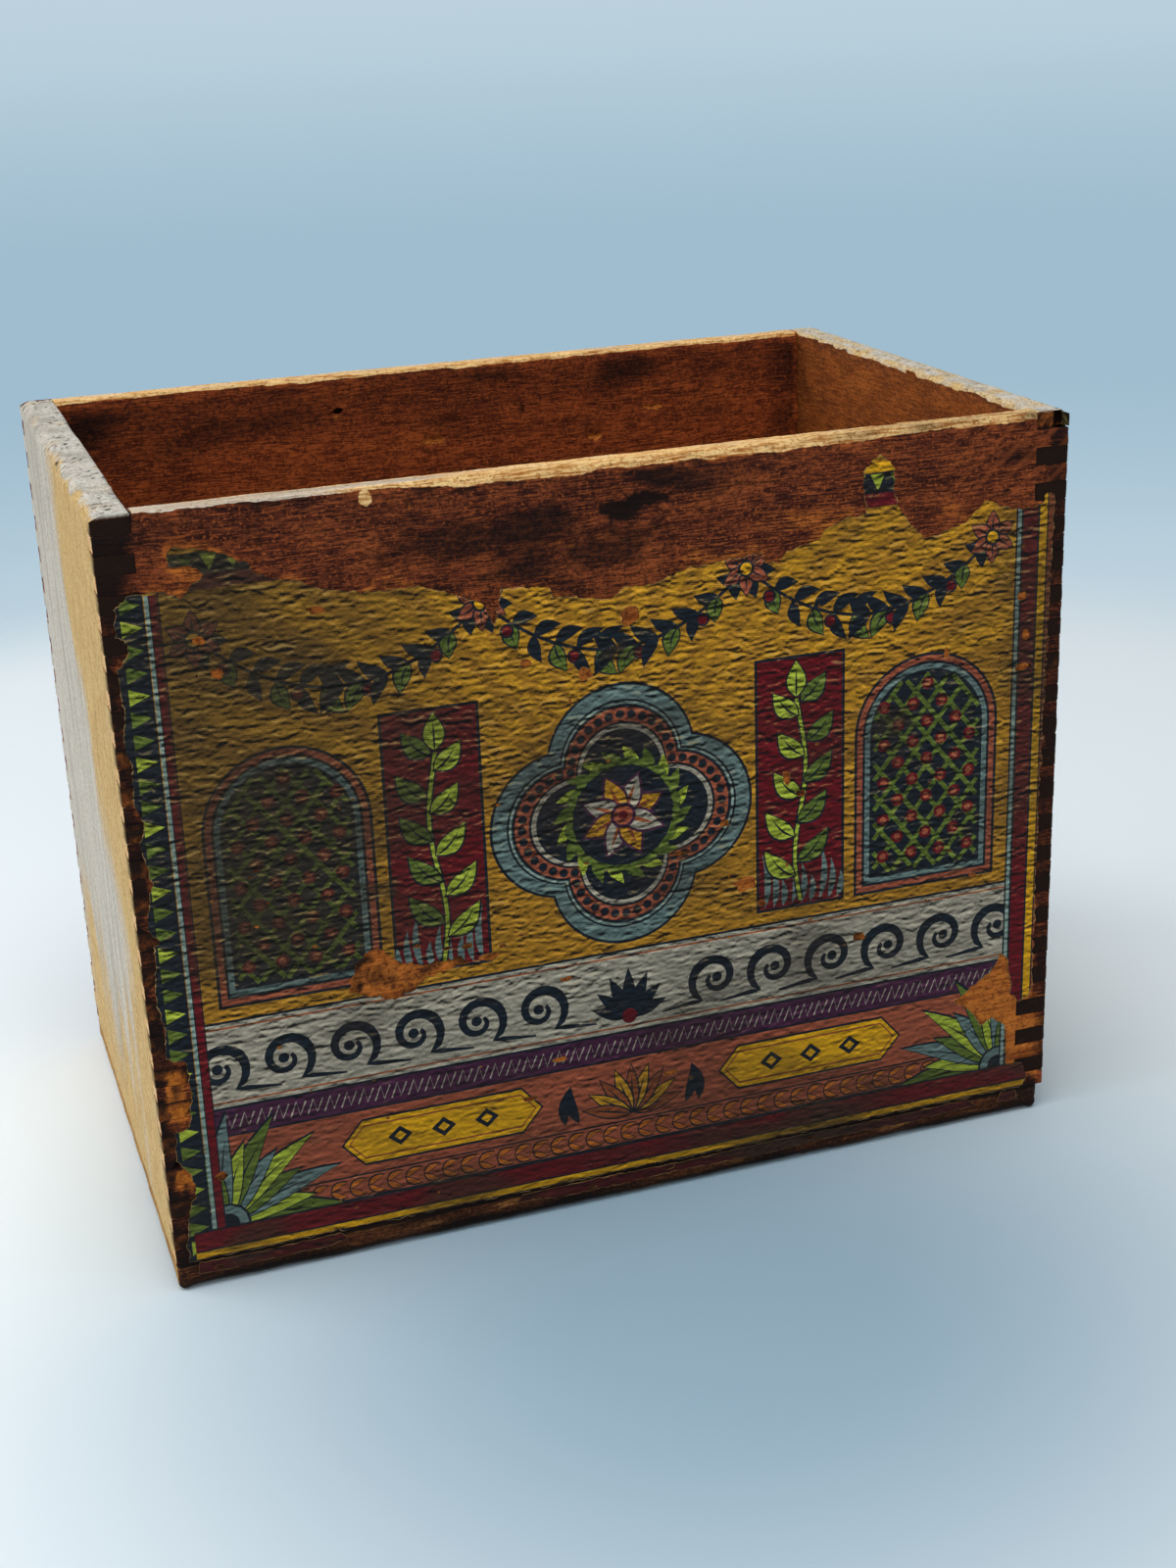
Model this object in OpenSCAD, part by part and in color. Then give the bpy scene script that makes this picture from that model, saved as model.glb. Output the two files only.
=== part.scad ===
// Open wooden packing box for spice: lock-corner boards, a nailed bottom and a torn paper label.
// The origin is the middle of the underside, +X runs along the front and the front faces -Y.

/* [Box] */
// Width over the outside of the two end boards
box_w = 256; // [200:1:320]
// Depth over the outside of the front and back boards
box_d = 159; // [120:1:220]
// Height of the four upright boards
side_h = 200; // [140:1:260]

/* [Boards] */
// Thickness of the front and back boards
side_t = 6.2; // [5:0.1:9]
// Thickness of the two end boards
end_t = 9.5; // [7:0.1:13]
// Thickness of the bottom board
base_t = 8; // [6.5:0.1:12]
// How far the bottom board stops short of the right end
base_short = 1.2; // [0:0.1:1.6]
// Radius worn on the lower edges of the bottom board
base_round = 3; // [1:0.1:3.4]
// Radius worn on the outer arrises of the rim
rim_out = 1.8; // [0.5:0.1:2.4]
// Radius worn on the inner arrises of the rim
rim_in = 0.6; // [0.2:0.1:1.2]

/* [Corner fingers] */
// Number of fingers up a corner, shared by the two boards
finger_n = 42; // [24:2:60]
// Play between a finger and the two fingers that it lies between
finger_play = 0.1; // [0.04:0.02:0.3]
// Length broken off the top front finger of the right end board
chip_len = 1.4; // [0.4:0.1:3]
// Width split off the outer side of that finger
chip_w = 2.6; // [0.5:0.1:4]

/* [Nails] */
// Nails along the front and along the back
side_nail_n = 5; // [3:1:9]
// Nails along each end
end_nail_n = 3; // [2:1:6]
// Distance from a corner of the box to the nearest nail
nail_margin = 24; // [16:1:36]
// Diameter of a nail's wire
nail_d = 1.6; // [1.2:0.1:2]
// Diameter of a nail's head
nail_head_d = 3; // [2.4:0.1:3.6]
// Thickness of a nail's head
nail_head_t = 0.7; // [0.4:0.1:1.2]
// Length of a nail's point
nail_point = 2.4; // [1:0.1:4]
// How deep a nail goes into the upright board
nail_bite = 16; // [8:1:30]
// How deep a nail's head is set into the underside
nail_sink = 0.4; // [0.2:0.05:0.8]
// Room left around a nail
nail_play = 0.05; // [0.02:0.01:0.15]

/* [Label] */
// Thickness of the pasted paper
paper_t = 0.25; // [0.15:0.05:0.5]
// Bare wood left of the label
label_left = 3.5; // [0:0.5:12]
// Bare wood right of the label
label_right = 3; // [0:0.5:12]
// Height of the crack between the label and its strip on the bottom board
seam_crack = 0.6; // [0.2:0.1:2]
// Height of the strip that is left on the bottom board's edge
strip_h = 4; // [2:0.1:5]

/* [Hidden] */
$fn = 64;
// Overshoot of a cutting solid past the face that it opens
over = 1;
finger_h = side_h / finger_n;
top_z = base_t + side_h;
// Middle lines of the upright boards' lower edges, which the nails follow
side_nail_y = box_d / 2 - side_t / 2;
end_nail_x = box_w / 2 - end_t / 2;
nail_len = base_t - nail_sink + nail_bite;
label_w = box_w - label_left - label_right;
label_h = side_h - seam_crack;
front_y = -box_d / 2;

// Upper edge of the torn label, from its right end: percent of its width, then percent of its height lost
torn_edge = [
    [100, 10.8], [99, 11], [97, 12.8], [91.5, 11], [89, 13.3], [84.5, 15], [81.5, 10.5], [81, 5], [79, 3],
    [77, 5.3], [77.5, 10.8], [75, 11], [72.5, 13], [68.5, 14.5], [66, 15.5], [63, 14], [56.5, 15], [51, 16.3],
    [49, 17.8], [42.5, 15.3], [37.5, 14.5], [36.5, 19], [36, 16], [30, 13], [24, 12.8], [19, 11.5], [14, 9.3],
    [13, 7.8], [10, 5.8], [6, 4.5], [5.5, 6.8], [8.5, 8.3], [6, 11], [5, 9.8], [1.5, 9.8], [0, 11]
];
// Places where the paper has come away: percent of the label's width and height, then an outline around that
// point in percent of its width
bare_patches = [
    [[27.5, 36], [[-8.2, -1], [-3.8, -2.7], [0.4, -2.2], [6.8, -1.4], [8.3, 0.8], [3.8, 0.9], [-0.4, 0.6],
        [-4.9, 3.6], [-7.5, 1.9]]],
    [[94, 16.7], [[-4.6, -0.6], [-2.6, -2.7], [0.6, -3.9], [4, -3.4], [3.8, 3.6], [0.7, 4.2], [-3.4, 1.5]]]
];
// Runs of the strip along the bottom board, in percent of its length
strip_runs = [[2, 18], [36, 92], [94, 97]];

// Places of the nails of one board, from its middle line
function row(n, reach) = [for (i = [0 : n - 1]) reach * (2 * i / (n - 1) - 1)];
front_nails = [for (x = row(side_nail_n, box_w / 2 - nail_margin)) [x, -side_nail_y]];
back_nails = [for (p = front_nails) [p[0], -p[1]]];
right_nails = [for (y = row(end_nail_n, box_d / 2 - nail_margin)) [end_nail_x, y]];
left_nails = [for (p = right_nails) [-p[0], p[1]]];
all_nails = concat(front_nails, back_nails, right_nails, left_nails);

// A wire nail standing on its head, or with room added the hole that it fills
module nail_form(room) {
    translate([0, 0, -room]) cylinder(h = nail_head_t + 2 * room, d = nail_head_d + 2 * room);
    cylinder(h = nail_len - nail_point, d = nail_d + 2 * room);
    translate([0, 0, nail_len - nail_point])
        cylinder(h = nail_point + room, d1 = nail_d + 2 * room, d2 = nail_d / 4 + 2 * room);
}

module nail_holes(places) {
    for (p = places) translate([p[0], p[1], nail_sink]) {
        nail_form(nail_play);
        translate([0, 0, -nail_sink - over]) cylinder(h = nail_sink + over, d = nail_head_d + 2 * nail_play);
    }
}

// Section of an upright board t thick, outer face on the axis, with the rim's arrises worn round
module rim_section(t) {
    square([t, side_h - rim_out]);
    translate([rim_out, 0]) square([t - rim_out, side_h - rim_in]);
    translate([rim_out, 0]) square([t - rim_out - rim_in, side_h]);
    translate([rim_out, side_h - rim_out]) circle(rim_out);
    translate([t - rim_in, side_h - rim_in]) circle(rim_in);
}

// Section of the whole box across its depth, with the same outer arrises
module outer_section() {
    translate([-box_d / 2, 0]) rim_section(box_d / 2);
    mirror([1, 0]) translate([-box_d / 2, 0]) rim_section(box_d / 2);
    translate([-rim_in, 0]) square([2 * rim_in, side_h]);
}

// Every second finger up a corner, from number first, as the solid that cuts its slot
module slot_row(first, size_x, size_y, play) {
    for (i = [first : 2 : finger_n - 1]) {
        below = i == 0 ? over : play / 2;
        above = i == finger_n - 1 ? over : play / 2;
        translate([0, 0, base_t + i * finger_h - below]) cube([size_x, size_y, finger_h + below + above]);
    }
}

// Front board: the slots take the end boards' fingers, which lie second, fourth and so on from the bottom
module side_board() {
    difference() {
        translate([-box_w / 2, front_y, base_t])
            rotate([90, 0, 90]) linear_extrude(box_w) rim_section(side_t);
        for (side = [0, 1]) mirror([side, 0, 0])
            translate([box_w / 2 - end_t, front_y - over, 0]) slot_row(1, end_t + over, side_t + 2 * over, 0);
        nail_holes(front_nails);
    }
}

// Right end board: the slots take the front and back boards' fingers, from the lowest up
module end_board() {
    difference() {
        intersection() {
            translate([box_w / 2, box_d / 2, base_t])
                rotate([90, 0, 0]) linear_extrude(box_d) mirror([1, 0]) rim_section(end_t);
            translate([box_w / 2 - end_t - over, 0, base_t])
                rotate([90, 0, 90]) linear_extrude(end_t + 2 * over) outer_section();
        }
        for (side = [0, 1]) mirror([0, side, 0])
            translate([box_w / 2 - end_t - over, front_y - over, 0])
                slot_row(0, end_t + 2 * over, side_t + over, finger_play);
        nail_holes(right_nails);
    }
}

// What has broken off the top front finger: its end, and a splinter off its lower outer corner
module finger_chip() {
    finger_z = top_z - finger_h;
    translate([box_w / 2 - end_t - over, front_y - over, finger_z])
        cube([end_t + 2 * over, chip_len + over, finger_h + over]);
    translate([box_w / 2, front_y + side_t, finger_z])
        rotate([90, 0, 0]) linear_extrude(side_t + over)
            polygon([[-chip_w, 0], [over, 0], [over, finger_h / 2], [-chip_w / 2, finger_h / 2]]);
}

module front_board() {
    color("#7a4226") side_board();
}

module back_board() {
    color("#70391f") mirror([0, 1, 0]) side_board();
}

module left_end_board() {
    color("#d9c9a6") mirror([1, 0, 0]) end_board();
}

module right_end_board() {
    color("#8a5a33") difference() {
        end_board();
        finger_chip();
    }
}

// Section of the bottom board, w wide, with its two lower edges worn round
module base_section(w) {
    translate([0, base_round]) square([w, base_t - base_round]);
    translate([base_round, 0]) square([w - 2 * base_round, base_t]);
    for (x = [base_round, w - base_round]) translate([x, base_round]) circle(base_round);
}

module bottom_board() {
    length = box_w - base_short;
    color("#5b3a22") difference() {
        intersection() {
            translate([-box_w / 2, front_y, 0]) rotate([90, 0, 90]) linear_extrude(length) base_section(box_d);
            translate([-box_w / 2, box_d / 2, 0]) rotate([90, 0, 0]) linear_extrude(box_d) base_section(length);
        }
        nail_holes(all_nails);
    }
}

module bottom_nails() {
    color("#4a4540") for (p = all_nails) translate([p[0], p[1], nail_sink]) nail_form(0);
}

// Stands a flat outline against the front face of the boards as paper
module paper_on_front(z) {
    translate([-box_w / 2, front_y, z]) rotate([90, 0, 0]) linear_extrude(paper_t) children();
}

module front_label() {
    color("#a8842c") paper_on_front(base_t + seam_crack) translate([label_left, 0]) difference() {
        polygon(concat(
            [[0, 0], [label_w, 0]],
            [for (p = torn_edge) [p[0] * label_w / 100, label_h * (1 - p[1] / 100)]]
        ));
        for (patch = bare_patches)
            translate([patch[0][0] * label_w / 100, patch[0][1] * label_h / 100])
                polygon(patch[1] * label_w / 100);
    }
}

module base_label_strip() {
    color("#6b1a22") paper_on_front(base_t - strip_h) for (run = strip_runs)
        translate([run[0] * box_w / 100, 0]) square([(run[1] - run[0]) * box_w / 100, strip_h]);
}

front_board();
back_board();
left_end_board();
right_end_board();
bottom_board();
bottom_nails();
front_label();
base_label_strip();
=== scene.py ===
"""Looks of an old open packing box: lock-corner boards, a nailed bottom and a torn, crinkled paper label.

Lengths are in millimetres until a mesh is made. A board is drawn flat: u runs along it, v up it, and w from its
outer face into the wood. On the label x runs from the box's left edge and z up from the seam above the bottom board.
"""
import math
import random

import bmesh
import bpy
import numpy as np
from mathutils import Matrix, Vector, noise
from mathutils.geometry import delaunay_2d_cdt


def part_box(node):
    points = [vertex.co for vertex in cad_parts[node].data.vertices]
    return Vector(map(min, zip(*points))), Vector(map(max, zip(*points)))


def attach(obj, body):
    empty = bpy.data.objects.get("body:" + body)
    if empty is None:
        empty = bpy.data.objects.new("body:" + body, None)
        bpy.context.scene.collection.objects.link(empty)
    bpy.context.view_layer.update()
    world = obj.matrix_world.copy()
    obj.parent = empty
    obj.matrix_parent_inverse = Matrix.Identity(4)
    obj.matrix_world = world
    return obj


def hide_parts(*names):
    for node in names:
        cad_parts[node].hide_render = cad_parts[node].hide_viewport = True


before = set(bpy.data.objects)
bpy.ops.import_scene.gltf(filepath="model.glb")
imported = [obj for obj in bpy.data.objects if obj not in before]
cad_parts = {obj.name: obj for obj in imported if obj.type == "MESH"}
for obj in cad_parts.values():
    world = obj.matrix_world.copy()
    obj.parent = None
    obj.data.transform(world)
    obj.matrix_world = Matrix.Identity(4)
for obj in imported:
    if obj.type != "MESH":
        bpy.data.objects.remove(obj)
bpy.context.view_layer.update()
scene = bpy.context.scene
scene.view_settings.view_transform = "Standard"

# Sizes from the frame

MM = 0.001


def node_corners(node):
    low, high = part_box(node)
    return np.array(low) / MM, np.array(high) / MM


front_low, front_high = node_corners("front_board")
_, back_high = node_corners("back_board")
left_low, left_high = node_corners("left_end_board")
_, right_high = node_corners("right_end_board")
base_low, base_high = node_corners("bottom_board")

BOX_W = front_high[0] - front_low[0]
BOX_D = back_high[1] - front_low[1]
SIDE_H = front_high[2] - front_low[2]
SIDE_T = front_high[1] - front_low[1]
END_T = left_high[0] - left_low[0]
BASE_T = base_high[2]
SEAM_Z = front_low[2]
FRONT_Y = front_low[1]
PAPER_T = FRONT_Y - node_corners("front_label")[0][1]
# Fingers up a corner, shared by the two boards that meet there
FINGERS = 42
FINGER_H = SIDE_H / FINGERS


# Small helpers

def smooth(low, high, value):
    """0 below low, 1 above high, eased between."""
    t = np.clip((value - low) / (high - low), 0, 1)
    return t * t * (3 - 2 * t)


def drift(x, y, z=0.0):
    """Smooth noise of about -0.7 to 0.7 at each place, with every axis already divided by its feature size."""
    x, y, z = np.broadcast_arrays(np.asarray(x, float), y, z)
    places = zip(x.ravel().tolist(), y.ravel().tolist(), z.ravel().tolist())
    return np.array([noise.noise(p) for p in places]).reshape(x.shape)


def left_of(run):
    """A run, or each of a row of runs, turned a quarter to its left."""
    return np.stack([-run[..., 1], run[..., 0]], axis=-1)


def around(x, z, half_x, half_z, turn):
    """Places about a middle, at angles in radians."""
    return np.stack([x + half_x * np.cos(turn), z + half_z * np.sin(turn)], axis=-1)


def inside(outline, points):
    """Which points lie inside a closed outline."""
    hit = ((points > outline.min(axis=0)) & (points < outline.max(axis=0))).all(axis=1)
    near = np.flatnonzero(hit)
    x, y = points[near].T
    odd = np.zeros(len(near), bool)
    for (x1, y1), (x2, y2) in zip(outline, np.roll(outline, -1, axis=0)):
        if y1 != y2:
            odd ^= ((y1 > y) != (y2 > y)) & (x < (x2 - x1) * (y - y1) / (y2 - y1) + x1)
    hit[near] = odd
    return hit


# A torn edge wanders over about 2 mm, and its fibres fray over less than 1 mm
TEAR, FRAY = 2.1, 0.7


def ragged(outline, step, amount, seed):
    """A closed outline walked in short steps, each moved off the line by torn-fibre noise."""
    outline = np.asarray(outline, float)
    walked = []
    for here, ahead in zip(outline, np.roll(outline, -1, axis=0)):
        run = ahead - here
        length = np.hypot(*run)
        count = max(1, round(length / step))
        off = left_of(run) / max(length, 1e-6)
        for i in range(count):
            spot = here + run * i / count
            shove = drift(*spot / TEAR, seed) + 0.6 * drift(*spot / FRAY, seed + 5)
            walked.append(spot + off * amount * float(shove))
    return np.array(walked)


def shrunk(outline, amounts):
    """A closed anticlockwise outline moved inwards by an amount at each point."""
    along = np.roll(outline, -1, axis=0) - np.roll(outline, 1, axis=0)
    inward = left_of(along) / np.maximum(np.hypot(*along.T), 1e-6)[:, None]
    return outline + inward * np.reshape(amounts, (-1, 1))


def new_mesh(name, places_mm, faces):
    mesh = bpy.data.meshes.new(name)
    mesh.from_pydata((places_mm * MM).tolist(), [], faces)
    return mesh


def store(mesh, name, kind, domain, values):
    """Keeps a number or a colour for each point or corner of a mesh, for a material to read by name."""
    field = "color" if kind == "FLOAT_COLOR" else "value"
    mesh.attributes.new(name, kind, domain).data.foreach_set(field, values.astype(np.float32).ravel())


def stand_for(mesh, material, replaced, crease):
    """Puts a mesh in the place of a CAD node, smooth but for edges of more than crease degrees."""
    mesh.shade_smooth()
    mesh.set_sharp_from_angle(angle=math.radians(crease))
    mesh.materials.append(material)
    piece = bpy.data.objects.new(mesh.name, mesh)
    scene.collection.objects.link(piece)
    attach(piece, "root")
    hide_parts(replaced)


# Materials

def linear(code):
    """Linear colour of an sRGB hex value."""
    channels = [int(code[i:i + 2], 16) / 255 for i in (1, 3, 5)]
    return [c / 12.92 if c <= 0.04045 else ((c + 0.055) / 1.055) ** 2.4 for c in channels] + [1.0]


def feed(tree, node, inputs):
    """Links or sets a node's inputs, each found by its name or its number."""
    for name, value in inputs.items():
        socket = next(s for i, s in enumerate(node.inputs) if s.enabled and name in (s.name, i))
        if isinstance(value, bpy.types.NodeSocket):
            tree.links.new(value, socket)
        else:
            socket.default_value = value


def add(tree, kind, inputs=None, out=None, **settings):
    """Adds a node with its settings and links, and gives the output named out or the first that is in use."""
    node = tree.nodes.new("ShaderNode" + kind)
    for option, value in settings.items():
        setattr(node, option, value)
    feed(tree, node, inputs or {})
    return node.outputs[out] if out else next(s for s in node.outputs if s.enabled)


def start_material(name):
    material = bpy.data.materials.new(name)
    material.use_nodes = True
    return material, material.node_tree, material.node_tree.nodes["Principled BSDF"]


def overlay(tree, colour, coats):
    """Lays tones over a colour: each coat is a field, where it starts and is full, its strength and its tone."""
    for field, start, full, strength, tone in coats:
        share = add(tree, "MapRange", {"Value": field, "From Min": start, "From Max": full, "To Max": strength},
                    interpolation_type="SMOOTHSTEP")
        tone = linear(tone) if isinstance(tone, str) else tone
        colour = add(tree, "Mix", {"Factor": share, "A": colour, "B": tone}, data_type="RGBA")
    return colour


ALONG, DEEP, UP = 0, 1, 2


def weathered_softwood(name, grain, streaked, tones, scored=False):
    # Planed softwood, dried for a century without a finish: dull, with fine fibres, dark pores and cloudy stains, straw
    # where an arris has splintered, grey where light has bleached it and orange where paper kept the light off.
    # The mesh's state colour says how worn, bleached and fresh a place is, and its alpha how much it darkens towards
    # the soil tone: with dirt, and in places with painted shade.
    material, tree, shader = start_material(name)
    place = add(tree, "TexCoord", out="Object")
    wander = add(tree, "TexNoise", {"Vector": place, "Scale": 1000 / 55, "Detail": 2.0}, out="Color")
    place = add(tree, "VectorMath", {0: wander, 1: (0.004, 0.004, 0.004), 2: place}, operation="MULTIPLY_ADD")
    fields = {}
    # Real fibres, pores and nap are under 0.1 mm wide, and are drawn 0.35 to 0.65 mm wide so that they show
    for field, axis, length_mm, width_mm, detail in (
            ("fibre", grain, 6.5, 0.45, 4.0), ("streak", grain, 45, 2.8, 4.0), ("pore", grain, 3.2, 0.35, 2.0),
            ("fade", streaked, 80, 6.0, 4.0), ("nap", streaked, 8.0, 0.65, 4.0), ("cloud", grain, 34, 15, 6.0),
            ("blotch", grain, 13, 6.0, 5.0), ("speck", grain, 1.3, 1.1, 4.0), ("pit", grain, 0.9, 0.7, 2.0)):
        size = [1000 / width_mm] * 3
        size[axis] = 1000 / length_mm
        spot = add(tree, "Mapping", {"Vector": place, "Scale": size})
        fields[field] = add(tree, "TexNoise", {"Vector": spot, "Scale": 1.0, "Detail": detail, "Roughness": 0.62})
    fibre, speck = fields["fibre"], fields["speck"]

    state = add(tree, "Attribute", attribute_name="state", out="Color")
    parts = add(tree, "SeparateColor", {"Color": state}).node.outputs
    colour = overlay(tree, linear(tones["body"]), (
        (fields["cloud"], 0.50, 0.64, 0.8, tones["stain"]), (fields["cloud"], 0.48, 0.36, 0.6, tones["light"]),
        (fields["blotch"], 0.52, 0.66, 0.75, tones["stain"]), (fields["blotch"], 0.46, 0.34, 0.45, tones["light"]),
        (fields["streak"], 0.48, 0.34, 0.6, tones["shade"]), (fibre, 0.50, 0.62, 0.62, tones["light"]),
        (fibre, 0.49, 0.37, 0.75, tones["shade"]), (fields["pore"], 0.53, 0.64, 0.75, tones["shade"]),
        (speck, 0.50, 0.62, 0.6, tones["shade"]), (fields["pit"], 0.44, 0.33, 0.7, tones["light"])))
    for mask, fray, torn, soft, mottle, tone in (
            (parts[2], 0.9, "fibre", 0.15, "streak", "fresh"), (parts[0], 0.9, "nap", 0.15, "nap", "worn"),
            (parts[1], 0.8, "nap", 0.32, "fade", "bleached")):
        dark, half = tones[tone + "_dark"], 0.47 + fray / 2
        shown = overlay(tree, linear(tones[tone]), (
            (fields[mottle], 0.56, 0.34, 0.8, dark), (fields["nap"], 0.52, 0.36, 0.42, dark),
            (fields["pore"], 0.55, 0.68, 0.4, dark), (speck, 0.50, 0.64, 0.75, dark),
            (fields["pit"], 0.58, 0.70, 0.6, tones["stain"])))
        broken = add(tree, "Math", {0: fields[torn], 1: fray, 2: mask}, operation="MULTIPLY_ADD")
        colour = overlay(tree, colour, ((broken, half - soft, half + soft, 1.0, shown),))
    # Darkening towards the soil tone: real dirt, and where the state's alpha carries it, painted shade under the rims,
    # in inside corners and by the end boards' front corners
    dirt = add(tree, "Math", {0: speck, 1: 0.5, 2: state.node.outputs["Alpha"]}, operation="MULTIPLY_ADD")
    colour = overlay(tree, colour, ((dirt, 0.3, 1.2, 0.97, tones["soil"]),))
    height = add(tree, "Math", {0: fields["pore"], 1: -0.6, 2: fibre}, operation="MULTIPLY_ADD")
    height = add(tree, "Math", {0: speck, 1: 0.5, 2: height}, operation="MULTIPLY_ADD")
    if scored:
        # Saw teeth left faint slanting scores about 2.5 mm apart near the right-hand end of the rim
        turned = add(tree, "Mapping", {"Vector": place, "Rotation": (0.0, -0.85, 0.0)})
        scores = add(tree, "TexWave", {"Vector": turned, "Scale": 1000 / 2.5 / math.tau, "Distortion": 1.5,
                                       "Detail": 2.0}, bands_direction="X", out="Fac")
        axes = add(tree, "SeparateXYZ", {"Vector": place}).node.outputs
        near_end = add(tree, "MapRange", {"Value": axes["X"], "From Min": 0.078, "From Max": 0.098})
        near_rim = add(tree, "MapRange", {"Value": axes["Z"], "From Min": 0.178, "From Max": 0.192})
        spread = add(tree, "Math", {0: near_end, 1: near_rim}, operation="MULTIPLY")
        scores = add(tree, "Math", {0: scores, 1: spread}, operation="MULTIPLY")
        colour = overlay(tree, colour, ((scores, 0.6, 1.0, 0.22, tones["light"]),))
        height = add(tree, "Math", {0: scores, 1: 0.5, 2: height}, operation="MULTIPLY_ADD")
    dull = add(tree, "MapRange", {"Value": fibre, "From Min": 0.3, "From Max": 0.7, "To Min": 0.88, "To Max": 0.68})
    bump = add(tree, "Bump", {"Height": height, "Strength": 0.6, "Distance": 0.00035})
    feed(tree, shader, {"Base Color": colour, "Roughness": dull, "IOR": 1.45, "Specular IOR Level": 0.12,
                        "Normal": bump})
    return material


side_tones = {
    "shade": "#240e0a", "body": "#68301b", "light": "#a8572b", "stain": "#371714", "soil": "#130a09",
    "fresh": "#c4712c", "fresh_dark": "#723415", "worn": "#f0c98a", "worn_dark": "#b87a38",
    "bleached": "#d3c8b8", "bleached_dark": "#a58f76",
}
back_tones = {**side_tones, "shade": "#451b0e", "body": "#8f421f", "light": "#b35928", "stain": "#5e2917"}
end_tones = {
    "shade": "#5f3014", "body": "#8c481c", "light": "#ab622a", "stain": "#6a3518", "soil": "#150d0a",
    "fresh": "#b86b24", "fresh_dark": "#7a3c14", "worn": "#d3b67e", "worn_dark": "#a9854f",
    "bleached": "#ccc7bd", "bleached_dark": "#a09a8f",
}
base_tones = {
    "shade": "#25130c", "body": "#4f2a17", "light": "#764626", "stain": "#361b12", "soil": "#120b09",
    "fresh": "#a0612c", "fresh_dark": "#683a1a", "worn": "#946034", "worn_dark": "#61391d",
    "bleached": "#b98f52", "bleached_dark": "#855a2c",
}
front_wood = weathered_softwood("planed basswood, aged red brown, front", ALONG, ALONG, side_tones, scored=True)
back_wood = weathered_softwood("planed basswood, aged red brown, back", ALONG, ALONG, back_tones)
# The end boards' saw marks stand upright, and dust has kept to them
end_wood = weathered_softwood("sawn pine, bleached outside", DEEP, UP, end_tones)
base_wood = weathered_softwood("planed pine, darkened by handling", ALONG, ALONG, base_tones)


# Torn label, in the places where its paper is left

LABEL_LEFT, LABEL_FOOT = 3.5, 0.6
# Upper edge of what is left of the paper, from the right
torn_edge = [
    (252.4, 178), (249.5, 178), (248.5, 175.5), (245, 174.5), (238, 175.5), (232, 178.3), (226, 173.3), (220, 171),
    (213.7, 170), (209, 175), (206.5, 179), (204.5, 184.5), (205, 190), (200.7, 193.8), (196, 189.5), (196, 186),
    (197, 178.5), (190.5, 178), (185.8, 175.8), (183.5, 173.5), (174.3, 171), (172.5, 168.8), (168.4, 168.8),
    (167.5, 171.7), (157, 171), (145.6, 170), (138.5, 167.2), (130, 167.3), (126, 164.4), (110.6, 167.4),
    (109.7, 169.8), (97.6, 171), (95.2, 162), (93, 167.2), (88.8, 169.6), (78, 173.8), (62.7, 174.3),
    (51.3, 176.8), (48.3, 178.6),
    (37.5, 181.7), (35.8, 184.7), (29, 188.5), (18.7, 190.9), (16.7, 188.8), (17, 186.3), (23.5, 185.5), (25, 183.3),
    (21, 180.4), (19, 178), (15.6, 180.5), (7.5, 180.5), (3.5, 177.5),
]
# Left edge, where the paper is rubbed off the corner, from the top
rubbed_edge = [
    (3.2, 171), (5.8, 169), (5.4, 165.5), (2.6, 163), (3.0, 152), (2.2, 145), (3.4, 139), (2.8, 130), (4.6, 124),
    (3.4, 117), (5.0, 108), (2.8, 100), (3.8, 88), (2.6, 79), (4.0, 68), (3.4, 60), (8.4, 58), (8.8, 50), (7.6, 40),
    (3.6, 38.5), (3.4, 31), (6.0, 26.5), (7.8, 22), (5.2, 16), (3.6, 9),
]
# Lower right corner, where the paper is gone down to the joint and a star of wood shows beside it
lost_corner = [
    (250.2, 4.2), (248.8, 8.3), (243.4, 8.7), (242.6, 22), (238.5, 25), (235, 23.5), (231.5, 28.5), (226, 32.5),
    (231, 36), (237.5, 39.5), (240.8, 45), (242.5, 43), (243.8, 37), (244.6, 31), (247, 28.6), (250, 29.6), (251, 33),
]
bare_corner = np.array(lost_corner + [(BOX_W + 1, 29), (BOX_W + 1, 4.2)])
label_outline = ragged(
    [(LABEL_LEFT, LABEL_FOOT), (249.6, LABEL_FOOT)] + lost_corner + [(251, 90), (251.8, 140)] + torn_edge + rubbed_edge,
    0.7, 0.7, 1.0)

# Places where the paper has flaked away: middle, half length and half height
flakes = [
    (25.8, 159, 1.7, 1.3), (22, 167.5, 1.6, 1.1), (131, 160, 3.0, 2.2), (118.5, 146, 2.0, 1.7), (103, 151, 1.6, 1.0),
    (174, 109.5, 1.1, 2.1), (156, 99, 1.5, 0.9), (143, 92.5, 2.6, 0.5), (178, 104, 1.7, 1.0), (221, 137.5, 0.8, 1.5),
    (243.5, 150.5, 1.5, 1.3), (245, 139.5, 1.3, 1.4), (244.3, 130.5, 2.3, 1.1), (14, 24, 1.5, 1.2),
    (162, 80.5, 3.4, 1.8), (166.5, 74, 1.3, 1.1), (110, 62, 1.8, 0.6), (89, 72.5, 2.6, 1.1),
    (83.5, 76.5, 1.4, 0.8), (78, 77, 1.2, 0.5),
    (93, 75, 1.0, 0.6), (70, 79, 0.9, 0.5), (107, 38.5, 2.2, 0.6), (98.5, 28.5, 1.8, 0.7),
    (139, 28, 2.2, 0.5), (196, 58.5, 1.8, 1.2), (230.5, 71, 1.2, 0.8), (3.9, 92.3, 1.2, 1.2), (51, 171.5, 2.4, 1.0),
]
peeled_strip = [(51.6, 69.5), (53.4, 76.7), (59.7, 81), (64, 76.2), (70.9, 73.4), (81.5, 74.2), (84, 72), (74, 70.5),
                (67, 66.5), (62.5, 65.2)]
paper_crack = [(9.7, 168.2), (15, 167.8), (20, 168.3), (24, 167.2), (20, 167.5), (15, 167.1)]


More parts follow.
